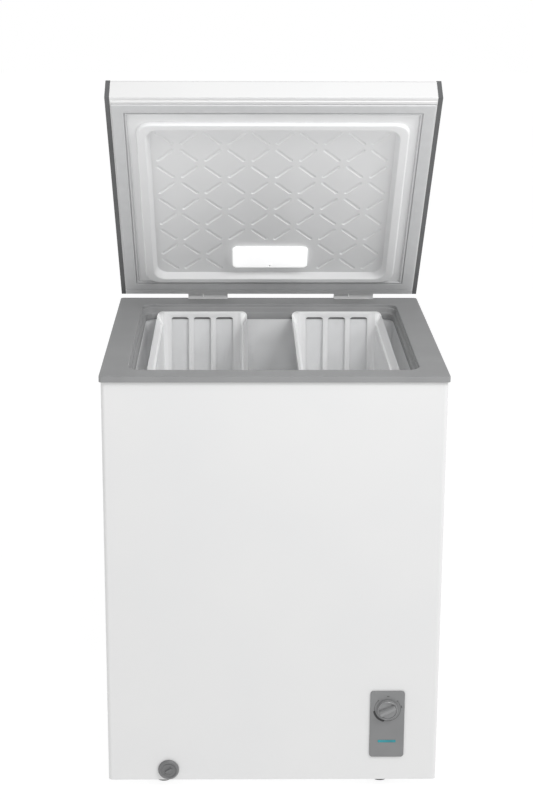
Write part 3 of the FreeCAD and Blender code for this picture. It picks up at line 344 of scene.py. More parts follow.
# %% Metals
def embossed_liner():
    made = new_finish("embossed_liner_sheet", (0.9, 0.905, 0.91), 0.34, metallic=0.2)
    dents = texture(made, "Voronoi", 150, Randomness=0.9)
    broad = texture(made, "Noise", 16, Detail=2.0, Distortion=0.4)
    tint(made, broad, (0.87, 0.875, 0.88), (0.93, 0.935, 0.94))
    vary_roughness(made, broad, 0.3, 0.46)
    relief(made, broad, 3.0 * MM, 0.35)
    relief(made, dents, 0.25 * MM, 0.25)
    return made


def galvanised_sheet():
    made = new_finish("galvanised_sheet", (0.6, 0.61, 0.62), 0.42, metallic=1.0)
    crystals = texture(made, "Voronoi", 75, Randomness=1.0)
    tint(made, crystals, (0.5, 0.51, 0.52), (0.68, 0.69, 0.7), span=(0.1, 0.7))
    vary_roughness(made, crystals, 0.32, 0.55)
    relief(made, texture(made, "Noise", 240, Detail=3.0), 0.05 * MM, 0.4)
    return made


def dull_metal(name, bright, dull, roughness, patches=45):
    """A plated or drawn metal that has gone dull in patches."""
    made = new_finish(name, bright, roughness, metallic=1.0)
    stain = texture(made, "Noise", patches, Detail=6.0, Roughness=0.6)
    tint(made, stain, dull, bright, span=(0.35, 0.62))
    vary_roughness(made, stain, roughness + 0.18, roughness)
    relief(made, texture(made, "Noise", 900, Detail=2.0), 0.02 * MM, 0.4)
    return made


liner_metal = embossed_liner()
galvanised = galvanised_sheet()
zinc_steel = dull_metal("zinc_plated_steel", (0.66, 0.66, 0.63), (0.48, 0.48, 0.46), 0.28)
copper = dull_metal("drawn_copper", (0.78, 0.42, 0.27), (0.42, 0.22, 0.15), 0.24)
aluminium_tube = dull_metal("aluminium_tube", (0.8, 0.8, 0.81), (0.62, 0.62, 0.63), 0.3)
print("metals made")

# %% [markdown]
# ### Enamel, foam, board, lens and lamp cover
# The compressor can is black enamel with runs and dust. Foam is cream and cellular. The light bar is teal
# acrylic that glows a little from the small lamps behind it, and the lamp cover is milky acrylic.

# %% The remaining finishes
def black_enamel_finish():
    made = new_finish("black_enamel", (0.02, 0.02, 0.022), 0.28, coat=0.5)
    dust = texture(made, "Noise", 30, Detail=6.0)
    tint(made, dust, (0.014, 0.014, 0.015), (0.05, 0.048, 0.045), span=(0.45, 0.8))
    vary_roughness(made, dust, 0.2, 0.5)
    relief(made, texture(made, "Noise", 160, Detail=2.0), 0.08 * MM, 0.4)
    return made


def rigid_foam():
    made = new_finish("rigid_foam", (0.85, 0.77, 0.55), 0.85)
    bubbles = texture(made, "Voronoi", 600, Randomness=1.0)
    patches = texture(made, "Noise", 12, Detail=4.0)
    tint(made, patches, (0.78, 0.68, 0.44), (0.88, 0.81, 0.62))
    relief(made, bubbles, 0.6 * MM, 0.6)
    return made


def lamp_board_finish():
    made = new_finish("green_circuit_board", (0.03, 0.22, 0.1), 0.35)
    tracks = texture(made, "Voronoi", 420, stretch=(1, 0.3, 1), Randomness=0.2)
    tint(made, tracks, (0.06, 0.34, 0.17), (0.02, 0.16, 0.08), span=(0.12, 0.2))
    relief(made, tracks, 0.05 * MM, 0.5)
    return made


def teal_acrylic():
    made = new_finish("teal_light_bar", (0.01, 0.24, 0.28), 0.22, coat=0.4)
    cloud = texture(made, "Noise", 90, Detail=2.0)
    tint(made, cloud, (0.008, 0.2, 0.24), (0.012, 0.28, 0.32))
    shader = made.node_tree.nodes["Principled BSDF"]
    shader.inputs["Emission Color"].default_value = (0.0, 0.5, 0.6, 1)
    shader.inputs["Emission Strength"].default_value = 0.04
    relief(made, cloud, 0.05 * MM, 0.2)
    return made


def milky_acrylic():
    made = new_finish("milky_lamp_cover", (0.9, 0.9, 0.9), 0.25, coat=0.4)
    haze = texture(made, "Noise", 25, Detail=2.0)
    tint(made, haze, (0.88, 0.88, 0.885), (0.92, 0.92, 0.92))
    shader = made.node_tree.nodes["Principled BSDF"]
    shader.inputs["Subsurface Weight"].default_value = 0.2
    shader.inputs["Subsurface Radius"].default_value = (0.004, 0.004, 0.004)
    shader.inputs["Emission Color"].default_value = (1, 1, 1, 1)
    shader.inputs["Emission Strength"].default_value = 0.6
    relief(made, texture(made, "Noise", 700, Detail=1.0), 0.02 * MM, 0.3)
    return made


black_enamel = black_enamel_finish()
foam_finish = rigid_foam()
circuit_board = lamp_board_finish()
teal_lens = teal_acrylic()
clear_white = milky_acrylic()
print("finishes:", len(bpy.data.materials))

# %% [markdown]
# ### Finishes on the CAD nodes
# Each CAD node names its material slot. Most slots have one finish, and a few nodes differ from their slot's.

# %% Dress the CAD nodes
SLOT_FINISH = {
    "white_paint": white_paint, "galvanised": galvanised, "liner_sheet": liner_metal, "foam": foam_finish,
    "grey_plastic": frame_grey, "dark_grey_plastic": cap_grey, "white_plastic": white_plastic,
    "lid_liner_plastic": liner_plastic, "seal_rubber": seal_vinyl, "black_rubber": black_rubber,
    "black_enamel": black_enamel, "black_plastic": black_plastic, "copper": copper,
    "aluminium_tube": aluminium_tube, "zinc_steel": zinc_steel, "teal_lens": teal_lens,
    "clear_white": clear_white, "circuit_board": circuit_board,
}
OWN_FINISH = {
    "control_panel": panel_grey, "thermostat_knob": dial_grey, "drain_cap": drain_grey,
    "drain_spout": drain_grey, "drain_plug": drain_grey,
    # the hinge pieces take the lightened copy of the white paint, painted light against their shade
    "hinge_bracket_left": hinge_paint_lightened_for_shade, "hinge_bracket_right": hinge_paint_lightened_for_shade,
    "hinge_leaf_left": hinge_paint_lightened_for_shade, "hinge_leaf_right": hinge_paint_lightened_for_shade,
    "basket_left": basket_white, "basket_right": basket_white,
}


def dress(piece, material):
    """Give a piece one finish in its every material slot."""
    if not piece.data.materials:
        piece.data.materials.append(material)
    for place in piece.material_slots:
        place.material = material


for part in frame["record"]["subparts"]:
    node = part["node"]
    dress(frame["nodes"][node], OWN_FINISH.get(node) or SLOT_FINISH[part["material_slot"]])

# %% [markdown]
# ## Building through rings
# A moulded tray, a seal or a dial can be modelled from one flat face. The face is extruded, sized and moved
# again and again, and each step leaves a ring behind it. A ring is written as its span in x, its span in y
# and its height, so the same helper makes rectangles, rounded rectangles and rounds.

# %% Rings
def flat_start(name, ring, radius=0.0, segments=6):
    """A flat face over a ring, in edit mode, with its corners rounded (or cut, with one segment)."""
    x_low, x_high, y_low, y_high, height = ring
    deselect()
    middle = ((x_low + x_high) / 2, (y_low + y_high) / 2, height)
    bpy.ops.mesh.primitive_plane_add(size=1, location=middle)
    piece = named(name)
    editing(piece)
    bpy.ops.transform.resize(value=(x_high - x_low, y_high - y_low, 1), center_override=middle)
    if radius:
        bpy.ops.mesh.bevel(offset=radius, segments=segments, profile=0.5, affect="VERTICES")
    choose(piece, "faces", lambda face: True)
    return piece


def climb(rings):
    """Extrude the selected face from the first ring through all the others."""
    for old, new in zip(rings, rings[1:]):
        old_middle = Vector(((old[0] + old[1]) / 2, (old[2] + old[3]) / 2, old[4]))
        new_middle = Vector(((new[0] + new[1]) / 2, (new[2] + new[3]) / 2, new[4]))
        size = ((new[1] - new[0]) / (old[1] - old[0]), (new[3] - new[2]) / (old[3] - old[2]), 1)
        bpy.ops.mesh.extrude_region_move()
        bpy.ops.transform.resize(value=size, center_override=old_middle)
        bpy.ops.transform.translate(value=new_middle - old_middle)


def apply_modifier(piece, kind, **settings):
    """Add one modifier to a piece and apply it."""
    pick(piece)
    modifier = piece.modifiers.new(kind.lower(), kind)
    for setting, value in settings.items():
        setattr(modifier, setting, value)
    bpy.ops.object.modifier_apply(modifier=modifier.name)


def cut_by(piece, cutter):
    """Cut one solid out of another, and take the cutter away."""
    apply_modifier(piece, "BOOLEAN", operation="DIFFERENCE", object=cutter, solver="EXACT")
    bpy.data.objects.remove(cutter)


def repeat_piece(piece, count, step):
    """Repeat a piece in a row within its own mesh."""
    apply_modifier(piece, "ARRAY", count=count, use_relative_offset=False, use_constant_offset=True,
                   constant_offset_displace=step)


def open_ends(piece):
    """Take away the last face of a climb and then its first, which leaves a sheet open at both ends."""
    bpy.ops.mesh.delete(type="ONLY_FACE")
    choose(piece, "faces", lambda face: len(face.verts) > 8)
    bpy.ops.mesh.delete(type="ONLY_FACE")


def agree_normals(piece, upwards):
    """Make an open sheet's normals agree, with its largest face looking up or down."""
    bpy.ops.mesh.select_all(action="SELECT")
    bpy.ops.mesh.normals_make_consistent(inside=False)
    largest = max(bmesh.from_edit_mesh(piece.data).faces, key=lambda face: face.calc_area())
    if (largest.normal.z > 0) != upwards:
        bpy.ops.mesh.flip_normals()


def outward(piece):
    """Close up loose seams and turn every face outwards."""
    editing(piece)
    bpy.ops.mesh.remove_doubles(threshold=0.01 * MM)
    bpy.ops.mesh.normals_make_consistent(inside=False)
    stop_editing()


def complete(piece, body, material, stands_for=(), smooth=35):
    """The last step for every piece: place into its mesh, shading, finish, slot, body and replaced nodes."""
    pick(piece)
    bpy.ops.object.transform_apply(location=True, rotation=True, scale=True)
    bpy.ops.object.shade_smooth_by_angle(angle=math.radians(smooth))
    piece.data.materials.clear()
    dress(piece, material)
    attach(piece, body)
    if stands_for:
        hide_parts(*stands_for)
    print(piece.name, len(piece.data.polygons), "faces")
    return piece


# %% [markdown]
# ## The lid, drawn closed
# The lid's pieces are easiest to draw with the lid shut, when they lie flat. Two coordinates then place
# everything: the distance from the lid's rear edge, and the height above its underside.
# The lid joint's lower limit is shut, so the same angle turns each piece up to its open rest.

# %% Lid coordinates
lid_joint = next(joint for joint in frame["joints"] if joint["name"] == "lid_hinge")
hinge_line = Vector(lid_joint["pos_m"])
open_angle = math.radians(-lid_joint["range_deg"][0])
HINGE_BEHIND, HINGE_ABOVE = 6, 8
lid_rear = hinge_line.y - HINGE_BEHIND * MM
lid_underside = hinge_line.z - HINGE_ABOVE * MM
lid_turn = (
    Matrix.Translation(hinge_line)
    @ Matrix.Rotation(open_angle, 4, Vector(lid_joint["axis"]))
    @ Matrix.Translation(-hinge_line)
)


def lid_ring(half_width, near, far, height):
    """A ring on the closed lid in mm: half its width, its two distances from the rear edge, its height."""
    return (-half_width * MM, half_width * MM, lid_rear - far * MM, lid_rear - near * MM,
            lid_underside + height * MM)


def open_up(piece):
    """Turn a piece that was drawn closed up to the open rest."""
    piece.matrix_world = lid_turn @ piece.matrix_world


print("lid opens", round(math.degrees(open_angle), 1), "degrees about", tuple(hinge_line))

# %% [markdown]
# ### The lid's inner panel
# This is one vacuum-formed sheet. A raised dyke runs round it and drops into the freezer's mouth when the lid
# is shut. Inside the dyke is a dished floor with short round-ended grooves in a diamond lattice, which
# stiffen it. The floor is made as by hand: one groove is modelled, copied to its places, and the flat between
# them is filled.

# %% One stiffening groove
GROOVE_LENGTH, GROOVE_HALF, GROOVE_SIDES = 46, 4.4, 16
GROOVE_RINGS = ((0.4, 0.0), (0.5, 0.45), (0.7, 0.9), (0.9, 0.45), (1.0, 0.15))
floor_height = 6


def groove(name):
    """A shallow round-ended hollow, with a flat margin that keeps the shading of the floor clean."""
    deselect()
    bpy.ops.mesh.primitive_circle_add(vertices=GROOVE_SIDES, radius=GROOVE_HALF * MM, fill_type="NGON")
    piece = named(name)
    editing(piece)
    half_side = math.pi / GROOVE_SIDES
    bpy.ops.transform.rotate(value=half_side, orient_axis="Z", center_override=(0, 0, 0))
    for side in (-1, 1):
        choose(piece, "verts", lambda vert: vert.co.y * side > 0)
        bpy.ops.transform.translate(value=(0, side * (GROOVE_LENGTH / 2 - GROOVE_HALF) * MM, 0))
    choose(piece, "faces", lambda face: True)
    for width, drop in GROOVE_RINGS:
        bpy.ops.mesh.inset(thickness=width * MM, depth=drop * MM)
    stop_editing()
    return piece


first_groove = groove("groove")
print("groove", len(first_groove.data.polygons), "faces")

# %% Copy the grooves to the lattice
CROSSING_X, CROSSING_STEP, FIRST_CROSSING = 45.1, 45.3, 431.5
ROWS, COLUMNS = range(-1, 8), range(-5, 5)
LAMP_HALF, LAMP_NEAR, LAMP_FAR = 75.5, 87, 144
LAMP_MARGIN_X, LAMP_MARGIN = 18, 20
lean = math.atan2(CROSSING_X, CROSSING_STEP)


def groove_places():
    """The middle of every groove that clears the lamp cover, and which way it leans."""
    for row in ROWS:
        for column in COLUMNS:
            x = (column + 0.5) * CROSSING_X
            along = FIRST_CROSSING - (row + 0.5) * CROSSING_STEP
            beside_lamp = abs(x) > LAMP_HALF + LAMP_MARGIN_X
            if beside_lamp or along > LAMP_FAR + LAMP_MARGIN:
                yield x, along, 1 if (row + column) % 2 else -1


grooves = []
for x, along, side in groove_places():
    copy = own_copy(first_groove)
    copy.location = (x * MM, lid_rear - along * MM, lid_underside + floor_height * MM)
    copy.rotation_euler.z = side * lean
    grooves.append(copy)
bpy.data.objects.remove(first_groove)
print(len(grooves), "grooves")

# %% Panel, dyke and floor
DYKE_CORNER = 26
PANEL_THICKNESS = 1.2
PANEL_HALF, PANEL_NEAR, PANEL_FAR = 254, 46, 503.5
FLANGE_HALF, FLANGE_LENGTH, FLANGE_SHIFT = 290, 505, -5
panel_rings = [
    lid_ring(PANEL_HALF, PANEL_NEAR, PANEL_FAR, 0), lid_ring(253.7, 46.3, 503.2, -4),
    lid_ring(252.7, 47, 502.3, -6.6),
    lid_ring(251, 48.5, 500.7, -8), lid_ring(250.2, 49, 500.1, -8), lid_ring(237.9, 57.1, 490.8, -8),
    lid_ring(237.2, 57.6, 490.2, -8), lid_ring(236, 58.6, 489.2, -7.3),
    lid_ring(230.5, 63.4, 484.6, 5), lid_ring(229.3, 64.4, 483.6, 6), lid_ring(228.6, 64.9, 483.1, 6),
]
lid_panel = flat_start("lid_inner_panel", panel_rings[0], DYKE_CORNER * MM, 8)
climb(panel_rings)
open_ends(lid_panel)
choose(lid_panel, "edges", lambda edge: edge.is_boundary and edge.verts[0].co.z < 0.1 * MM
       and edge.verts[1].co.z < 0.1 * MM)
flange_middle = (0, lid_rear - (PANEL_NEAR + PANEL_FAR) / 2 * MM, lid_underside)
bpy.ops.mesh.extrude_region_move()
flange_size = (FLANGE_HALF / PANEL_HALF, FLANGE_LENGTH / (PANEL_FAR - PANEL_NEAR), 1)
bpy.ops.transform.resize(value=flange_size, center_override=flange_middle)
bpy.ops.transform.translate(value=(0, FLANGE_SHIFT * MM, 0))
stop_editing()
join(lid_panel, *grooves)
print("panel joined with its grooves:", len(lid_panel.data.vertices), "vertices")

# %% Fill the floor between the grooves
floor_z = floor_height * MM
editing(lid_panel)
filled_edges = choose(lid_panel, "edges", lambda edge: edge.is_boundary and all(
    abs(vert.co.z - floor_z) < 0.05 * MM for vert in edge.verts))
bpy.ops.mesh.fill(use_beauty=True)
agree_normals(lid_panel, upwards=False)
stop_editing()
apply_modifier(lid_panel, "SOLIDIFY", thickness=PANEL_THICKNESS * MM, offset=-1, use_even_offset=True)
open_up(lid_panel)
complete(lid_panel, "lid", liner_plastic, ["lid_liner"], smooth=40)
print("filled across", filled_edges, "edges")

# %% [markdown]
# ### The magnetic seal
# The seal is a vinyl extrusion cut to length and welded at mitred corners. Across its width it has a rounded
# outer edge, the broad pocket that holds the magnet, a deep fold and a narrow inner lip. Rings of a rectangle
# with sharp corners give the mitres without any further work.

# %% Seal
SEAL_OUTER = (296, 18, 550)
SEAL_INNER = (269, 43, 525.5)
SEAL_PROFILE = ((0, -0.3), (0, -3.4), (0.02, -4.3), (0.06, -4.65), (0.1, -4.7), (0.74, -4.7), (0.79, -4.6),
                (0.81, -4.2), (0.82, -1.8), (0.87, -1.8), (0.88, -4.0), (0.9, -4.4), (0.95, -4.5),
                (0.99, -4.2),
                (1, -3.4), (1, -0.3))


def profile_rings(outer, inner, profile):
    """Rings from an outer to an inner outline, by a profile of shares of the way in and heights."""
    rings = []
    for share, height in profile:
        edge = [far_out + (far_in - far_out) * share for far_out, far_in in zip(outer, inner)]
        rings.append(lid_ring(*edge, height))
    return rings


def framed(name, rings):
    """A closed frame: rings from the outer to the inner base, with the base bridged shut."""
    piece = flat_start(name, rings[0])
    climb(rings)
    bpy.ops.mesh.delete(type="ONLY_FACE")
    base = rings[0][4]
    choose(piece, "faces", lambda face: len(face.verts) == 4 and abs(face.normal.z) > 0.99
           and abs((piece.matrix_world @ face.calc_center_median()).z - base) < 0.01 * MM)
    bpy.ops.mesh.delete(type="ONLY_FACE")
    choose(piece, "edges", lambda edge: edge.is_boundary)
    bpy.ops.mesh.bridge_edge_loops()
    stop_editing()
    outward(piece)
    return piece


seal = framed("lid_seal", profile_rings(SEAL_OUTER, SEAL_INNER, SEAL_PROFILE))
open_up(seal)
complete(seal, "lid", seal_vinyl, ["lid_gasket"], smooth=30)

# %% [markdown]
# ### The lid's folded border
# The lid's skin is folded in twice between its edge and the seal, which shows as two bright steps with a thin
# shadow between them. It is one frame of rings again, lying on the skin's return flange.

# %% Border
BORDER_OUTER = (298.2, 0.8, 565.2)
BORDER_INNER = (296.2, 17.6, 550.4)
BORDER_PROFILE = ((0, -0.05), (0.03, -0.5), (0.38, -0.5), (0.42, -0.1), (0.46, -0.1), (0.5, -1.3),
                  (0.56, -1.9),
                  (0.9, -1.9), (0.97, -1.3), (1, -0.05))
border = framed("lid_border", profile_rings(BORDER_OUTER, BORDER_INNER, BORDER_PROFILE))
open_up(border)
complete(border, "lid", white_paint, smooth=30)

# %% [markdown]
# ### The lamp cover
# A milky acrylic cover with cut corners snaps over the lamp in the lid, and one small screw holds it. One
# segment on the corner bevel cuts the corners straight. The screw sits in a round sink pressed into the face.

# %% Lamp cover
COVER_FACE, COVER_BACK, COVER_CORNER = -1.6, 5.8, 5.5
cover_rings = [
    lid_ring(LAMP_HALF, LAMP_NEAR, LAMP_FAR, COVER_BACK),
    lid_ring(LAMP_HALF, LAMP_NEAR, LAMP_FAR, COVER_FACE + 1.4),
    lid_ring(LAMP_HALF - 0.5, LAMP_NEAR + 0.5, LAMP_FAR - 0.5, COVER_FACE + 0.5),
    lid_ring(LAMP_HALF - 1.6, LAMP_NEAR + 1.6, LAMP_FAR - 1.6, COVER_FACE),
    lid_ring(LAMP_HALF - 7, LAMP_NEAR + 7, LAMP_FAR - 7, COVER_FACE - 0.5),
]
lamp_window = flat_start("lamp_window", cover_rings[0], COVER_CORNER * MM, 1)
climb(cover_rings)
stop_editing()
outward(lamp_window)
SINK_ALONG, SINK_RADIUS, SINK_DEPTH = 93.5, 2.6, 8
deselect()
bpy.ops.mesh.primitive_cylinder_add(vertices=24, radius=SINK_RADIUS * MM, depth=SINK_DEPTH * MM,
                                    location=(0, lid_rear - SINK_ALONG * MM, lid_underside + COVER_FACE * MM))
cut_by(lamp_window, named("sink"))
open_up(lamp_window)
complete(lamp_window, "lid", clear_white, ["lamp_cover"], smooth=25)

# %% [markdown]
# ## The top frame
# The frame round the mouth is a moulding with a crisp lip, a flat top and an inner side that goes down in
# steps: a bevelled edge, a rib, the ledge that carries the baskets, and a wall that meets the liner. The lip
# and the stepped side have different corners, so each is climbed by itself, and the flat top is bridged
# between them. The sheet then gets its wall inwards.

# %% Top frame
frame_low, frame_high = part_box("breaker_frame")
FRAME_CORNER, MOUTH_CORNER, FRAME_WALL = 6 * MM, 24 * MM, 1.9 * MM
MOUTH = (-261 * MM, 261 * MM, -238.5 * MM, 227.5 * MM)
LIP_PROFILE = ((0, -10.5), (0, -1.6), (0, -0.9), (0.25, -0.35), (0.8, 0), (1.5, 0))
STEP_PROFILE = ((-2.4, 0), (-1.6, 0), (-0.7, -0.3), (-0.1, -0.9), (0, -1.7), (0, -6.4), (0.5, -7.2),
                (1.6, -7.6),
                (1.8, -8.4), (1.8, -15.4), (2.2, -16.4), (3, -17), (5.6, -17), (6.6, -17.3), (7, -18.2),
                (7, -30))


def shrunk(outline, inset, drop):
    """A ring inside an outline, at a depth under the frame's top, both in mm."""
    x_low, x_high, y_low, y_high = outline
    inset, height = inset * MM, frame_high.z + drop * MM
    return (x_low + inset, x_high - inset, y_low + inset, y_high - inset, height)


def open_sheet(name, outline, profile, corner):
    """A sheet that follows a profile round an outline, open at its top and bottom."""
    rings = [shrunk(outline, *step) for step in profile]
    piece = flat_start(name, rings[0], corner, 8)
    climb(rings)
    open_ends(piece)
    stop_editing()
    return piece


frame_outline = (frame_low.x, frame_high.x, frame_low.y, frame_high.y)
top_frame = open_sheet("top_frame", frame_outline, LIP_PROFILE, FRAME_CORNER)
stepped_side = open_sheet("stepped_side", MOUTH, STEP_PROFILE, MOUTH_CORNER)
join(top_frame, stepped_side)
editing(top_frame)
level = frame_high.z - 0.02 * MM
rim_edges = choose(top_frame, "edges", lambda edge: edge.is_boundary and all(
    (top_frame.matrix_world @ vert.co).z > level for vert in edge.verts))
bpy.ops.mesh.bridge_edge_loops()
agree_normals(top_frame, upwards=True)
stop_editing()
apply_modifier(top_frame, "SOLIDIFY", thickness=FRAME_WALL, offset=-1, use_even_offset=True)
print("top bridged across", rim_edges, "edges")
complete(top_frame, "cabinet", frame_grey, ["breaker_frame"], smooth=30)

# %% [markdown]
# ## Screws
# All screws are the same small pan head with a cross recess. One head is turned up from a round face, the
# cross is cut by two crossed blades, and copies go to the hinges, the grille and the lamp cover.

# %% One screw head
HEAD_RINGS = ((4.2, 0), (4.2, 0.5), (4.0, 1.1), (3.3, 1.7), (2.0, 2.05), (0.7, 2.15))


def round_ring(radius, height):
    return (-radius * MM, radius * MM, -radius * MM, radius * MM, height * MM)


def round_start(name, radius, sides, height=0.0):
    """A round face in edit mode, ready to climb."""
    deselect()
    bpy.ops.mesh.primitive_circle_add(vertices=sides, radius=radius * MM, fill_type="NGON",
                                      location=(0, 0, height * MM))
    piece = named(name)
    editing(piece)
    return piece


def cross_head(name):
    piece = round_start(name, HEAD_RINGS[0][0], 24)
    climb([round_ring(*ring) for ring in HEAD_RINGS])
    stop_editing()
    outward(piece)
    for turn in (0, math.pi / 2):
        deselect()
        bpy.ops.mesh.primitive_cube_add(size=1, location=(0, 0, 1.9 * MM), rotation=(0, 0, turn))
        blade = named("blade")
        blade.scale = (4.4 * MM, 0.8 * MM, 2.0 * MM)
        cut_by(piece, blade)
    return piece


screw_head = cross_head("screw_head")
print("screw head", len(screw_head.data.polygons), "faces")


# %% Copies of the screw
def screws(name, places, body, stands_for=(), size=1.0, lid_closed=False):
    """Copies of the screw head, each at a place and facing a direction, joined in one piece."""
    copies = []
    for place, direction in places:
        copy = own_copy(screw_head)
        facing = Vector(direction).to_track_quat("Z", "Y").to_matrix().to_4x4()
        copy.matrix_world = Matrix.Translation(place) @ facing @ Matrix.Scale(size, 4)
        copies.append(copy)
    join(*copies)
    piece = named(name)
    if lid_closed:
        open_up(piece)
    return complete(piece, body, zinc_steel, stands_for, smooth=30)


HINGE_SIDES = ("left", "right")
SCREW_EDGE, SCREW_LOW, SCREW_HIGH = 9 * MM, 738 * MM, 788 * MM
BRACKET_FACE, LEAF_FACE, LEAF_EDGE, LEAF_RISE = 2.35 * MM, 2.25 * MM, 12 * MM, 20 * MM
bracket_places = []
leaf_places = []
for side in HINGE_SIDES:
    low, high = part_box(f"hinge_bracket_{side}")
    plate_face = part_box("breaker_frame")[1].y + BRACKET_FACE
    for x in (low.x + SCREW_EDGE, high.x - SCREW_EDGE):
        for z in (SCREW_LOW, SCREW_HIGH):
            bracket_places.append(((x, plate_face, z), (0, 1, 0)))
    low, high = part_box(f"hinge_leaf_{side}")
    for x in (low.x + LEAF_EDGE, high.x - LEAF_EDGE):
        leaf_places.append(((x, lid_rear + LEAF_FACE, hinge_line.z + LEAF_RISE), (0, 1, 0)))
screws("bracket_screw_heads", bracket_places, "cabinet", ["hinge_screws_cabinet"])
screws("leaf_screw_heads", leaf_places, "lid", ["hinge_screws_lid"], lid_closed=True)

grille_low, grille_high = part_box("side_grille")
GRILLE_INSET, GRILLE_SINK = 5.5 * MM, 1.5 * MM
grille_places = [
    ((grille_high.x - GRILLE_SINK, y, z), (1, 0, 0))
    for y in (grille_low.y + GRILLE_INSET, grille_high.y - GRILLE_INSET)
    for z in (grille_low.z + GRILLE_INSET, grille_high.z - GRILLE_INSET)
]
screws("grille_screw_heads", grille_places, "cabinet", ["grille_screws"], size=0.85)
cover_place = (0, lid_rear - SINK_ALONG * MM, lid_underside + (COVER_FACE + 0.4) * MM)
screws("lamp_cover_screw", [(cover_place, (0, 0, -1))], "lid", size=0.52, lid_closed=True)
bpy.data.objects.remove(screw_head)

# %% [markdown]
# ## The baskets
# Each basket is one injection moulding: a tapered tub with a flat rim. The rim is high at the two ends, where
# it hangs on the ledge of the top frame, and drops to the sides through rounded corners. The ends have three
# tall windows, and the sides and floor are slotted for cold air. The tub is made with a level rim, and then
# the two ends of the rim are pulled up. The windows and slots are cut by copies of one rounded cutter each.

# %% Tub with a level rim
basket_low, basket_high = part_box("basket_left")
RIM_WIDTH, HOOK_WIDTH, WALL, RIM_THICKNESS = 9 * MM, 5.5 * MM, 2.4 * MM, 2.4 * MM
SIDE_DROP, TAPER = 25 * MM, 5 * MM
side_rim = basket_high.z - SIDE_DROP


def basket_ring(x_inset, y_inset, height):
    return (basket_low.x + x_inset, basket_high.x - x_inset, basket_low.y + y_inset, basket_high.y - y_inset,
            height)


tub_rings = [
    basket_ring(RIM_WIDTH + TAPER + 3 * MM, HOOK_WIDTH + TAPER + 3 * MM, basket_low.z),
    basket_ring(RIM_WIDTH + TAPER, HOOK_WIDTH + TAPER, basket_low.z + 3 * MM),
    basket_ring(RIM_WIDTH, HOOK_WIDTH, side_rim - RIM_THICKNESS),
    basket_ring(0, 0, side_rim - RIM_THICKNESS),
    basket_ring(0, 0, side_rim - 0.7 * MM),
    basket_ring(0.7 * MM, 0.7 * MM, side_rim),
    basket_ring(RIM_WIDTH + WALL - 0.8 * MM, HOOK_WIDTH + WALL - 0.8 * MM, side_rim),
    basket_ring(RIM_WIDTH + WALL, HOOK_WIDTH + WALL, side_rim - 0.9 * MM),
    basket_ring(RIM_WIDTH + WALL + TAPER, HOOK_WIDTH + WALL + TAPER, basket_low.z + 5 * MM),
    basket_ring(RIM_WIDTH + WALL + TAPER + 3 * MM, HOOK_WIDTH + WALL + TAPER + 3 * MM, basket_low.z + WALL),
]
basket = flat_start("basket_tub_left", tub_rings[0], 9 * MM, 8)
climb(tub_rings)
stop_editing()
outward(basket)
print("tub", len(basket.data.polygons), "faces")

# %% Pull up the two ends of the rim
CORNER_ROUND = 9 * MM
basket_middle = (basket_low.y + basket_high.y) / 2
rim_band = side_rim - 6 * MM
end_start = (basket_high.y - basket_low.y) / 2 - 10 * MM
editing(basket)
STEPS = 6
for step in range(STEPS):
    # the corner of the rim rises along a quarter round, so each band of x is lifted by its own height,
    # and the last band reaches the middle
    last = step == STEPS - 1
    start = CORNER_ROUND * step / STEPS
    reach = basket_high.x - basket_low.x if last else CORNER_ROUND * (step + 1) / STEPS
    share = (step + 0.5) / STEPS
    lift = SIDE_DROP if last else SIDE_DROP - CORNER_ROUND * (1 - math.sqrt(1 - (1 - share) ** 2))

    def in_band(vert, start=start, reach=reach):
        place = basket.matrix_world @ vert.co
        from_side = min(place.x - basket_low.x, basket_high.x - place.x)
        past_corner = abs(place.y - basket_middle) > end_start
        in_rim = rim_band < place.z < side_rim + MM
        return in_rim and past_corner and start - 0.01 * MM <= from_side < reach

    if choose(basket, "verts", in_band):
        bpy.ops.transform.translate(value=(0, 0, lift))
stop_editing()
print("rim raised at both ends")

# %% Windows, slots and floor slots
def rounded_cutter(name, ring, depth, radius, turn=None):
    """A block with rounded upright corners, which is turned if asked and used to cut."""
    piece = flat_start(name, ring, radius, 5)
    bpy.ops.mesh.extrude_region_move(TRANSFORM_OT_translate={"value": (0, 0, depth)})
    stop_editing()
    outward(piece)
    if turn:
        piece.matrix_world = turn @ piece.matrix_world
        pick(piece)
        bpy.ops.object.transform_apply(location=True, rotation=True, scale=True)
    return piece


WINDOW_WIDTH, WINDOW_PITCH, WINDOW_MARGIN, WINDOW_HEIGHT = 35.5 * MM, 45.7 * MM, 10.5 * MM, 130 * MM
upright = Matrix.Rotation(math.pi / 2, 4, "X")
basket_x = (basket_low.x + basket_high.x) / 2
window_top = basket_high.z - WINDOW_MARGIN
first_x = basket_x - WINDOW_PITCH
window_ring = (first_x - WINDOW_WIDTH / 2, first_x + WINDOW_WIDTH / 2, window_top - WINDOW_HEIGHT, window_top,
               -0.3)
windows = rounded_cutter("window_cutter", window_ring, 0.6, 6 * MM, upright)
repeat_piece(windows, 3, (WINDOW_PITCH, 0, 0))
cut_by(basket, windows)

SLOT_WIDTH, SLOT_PITCH, SLOT_END = 4.2 * MM, 9 * MM, 24 * MM
slot_count = int((basket_high.y - basket_low.y - 2 * SLOT_END) / SLOT_PITCH)
slot_low, slot_high = basket_low.z + 26 * MM, side_rim - 9 * MM
slot_start = basket_middle - (slot_count - 1) / 2 * SLOT_PITCH
sideways = Matrix.Rotation(math.pi / 2, 4, "Z") @ upright
slot_ring = (slot_start - SLOT_WIDTH / 2, slot_start + SLOT_WIDTH / 2, slot_low, slot_high,
             basket_low.x - 20 * MM)
slot_depth = basket_high.x - basket_low.x + 40 * MM
slots = rounded_cutter("slot_cutter", slot_ring, slot_depth, 1.6 * MM, sideways)
repeat_piece(slots, slot_count, (0, SLOT_PITCH, 0))
cut_by(basket, slots)

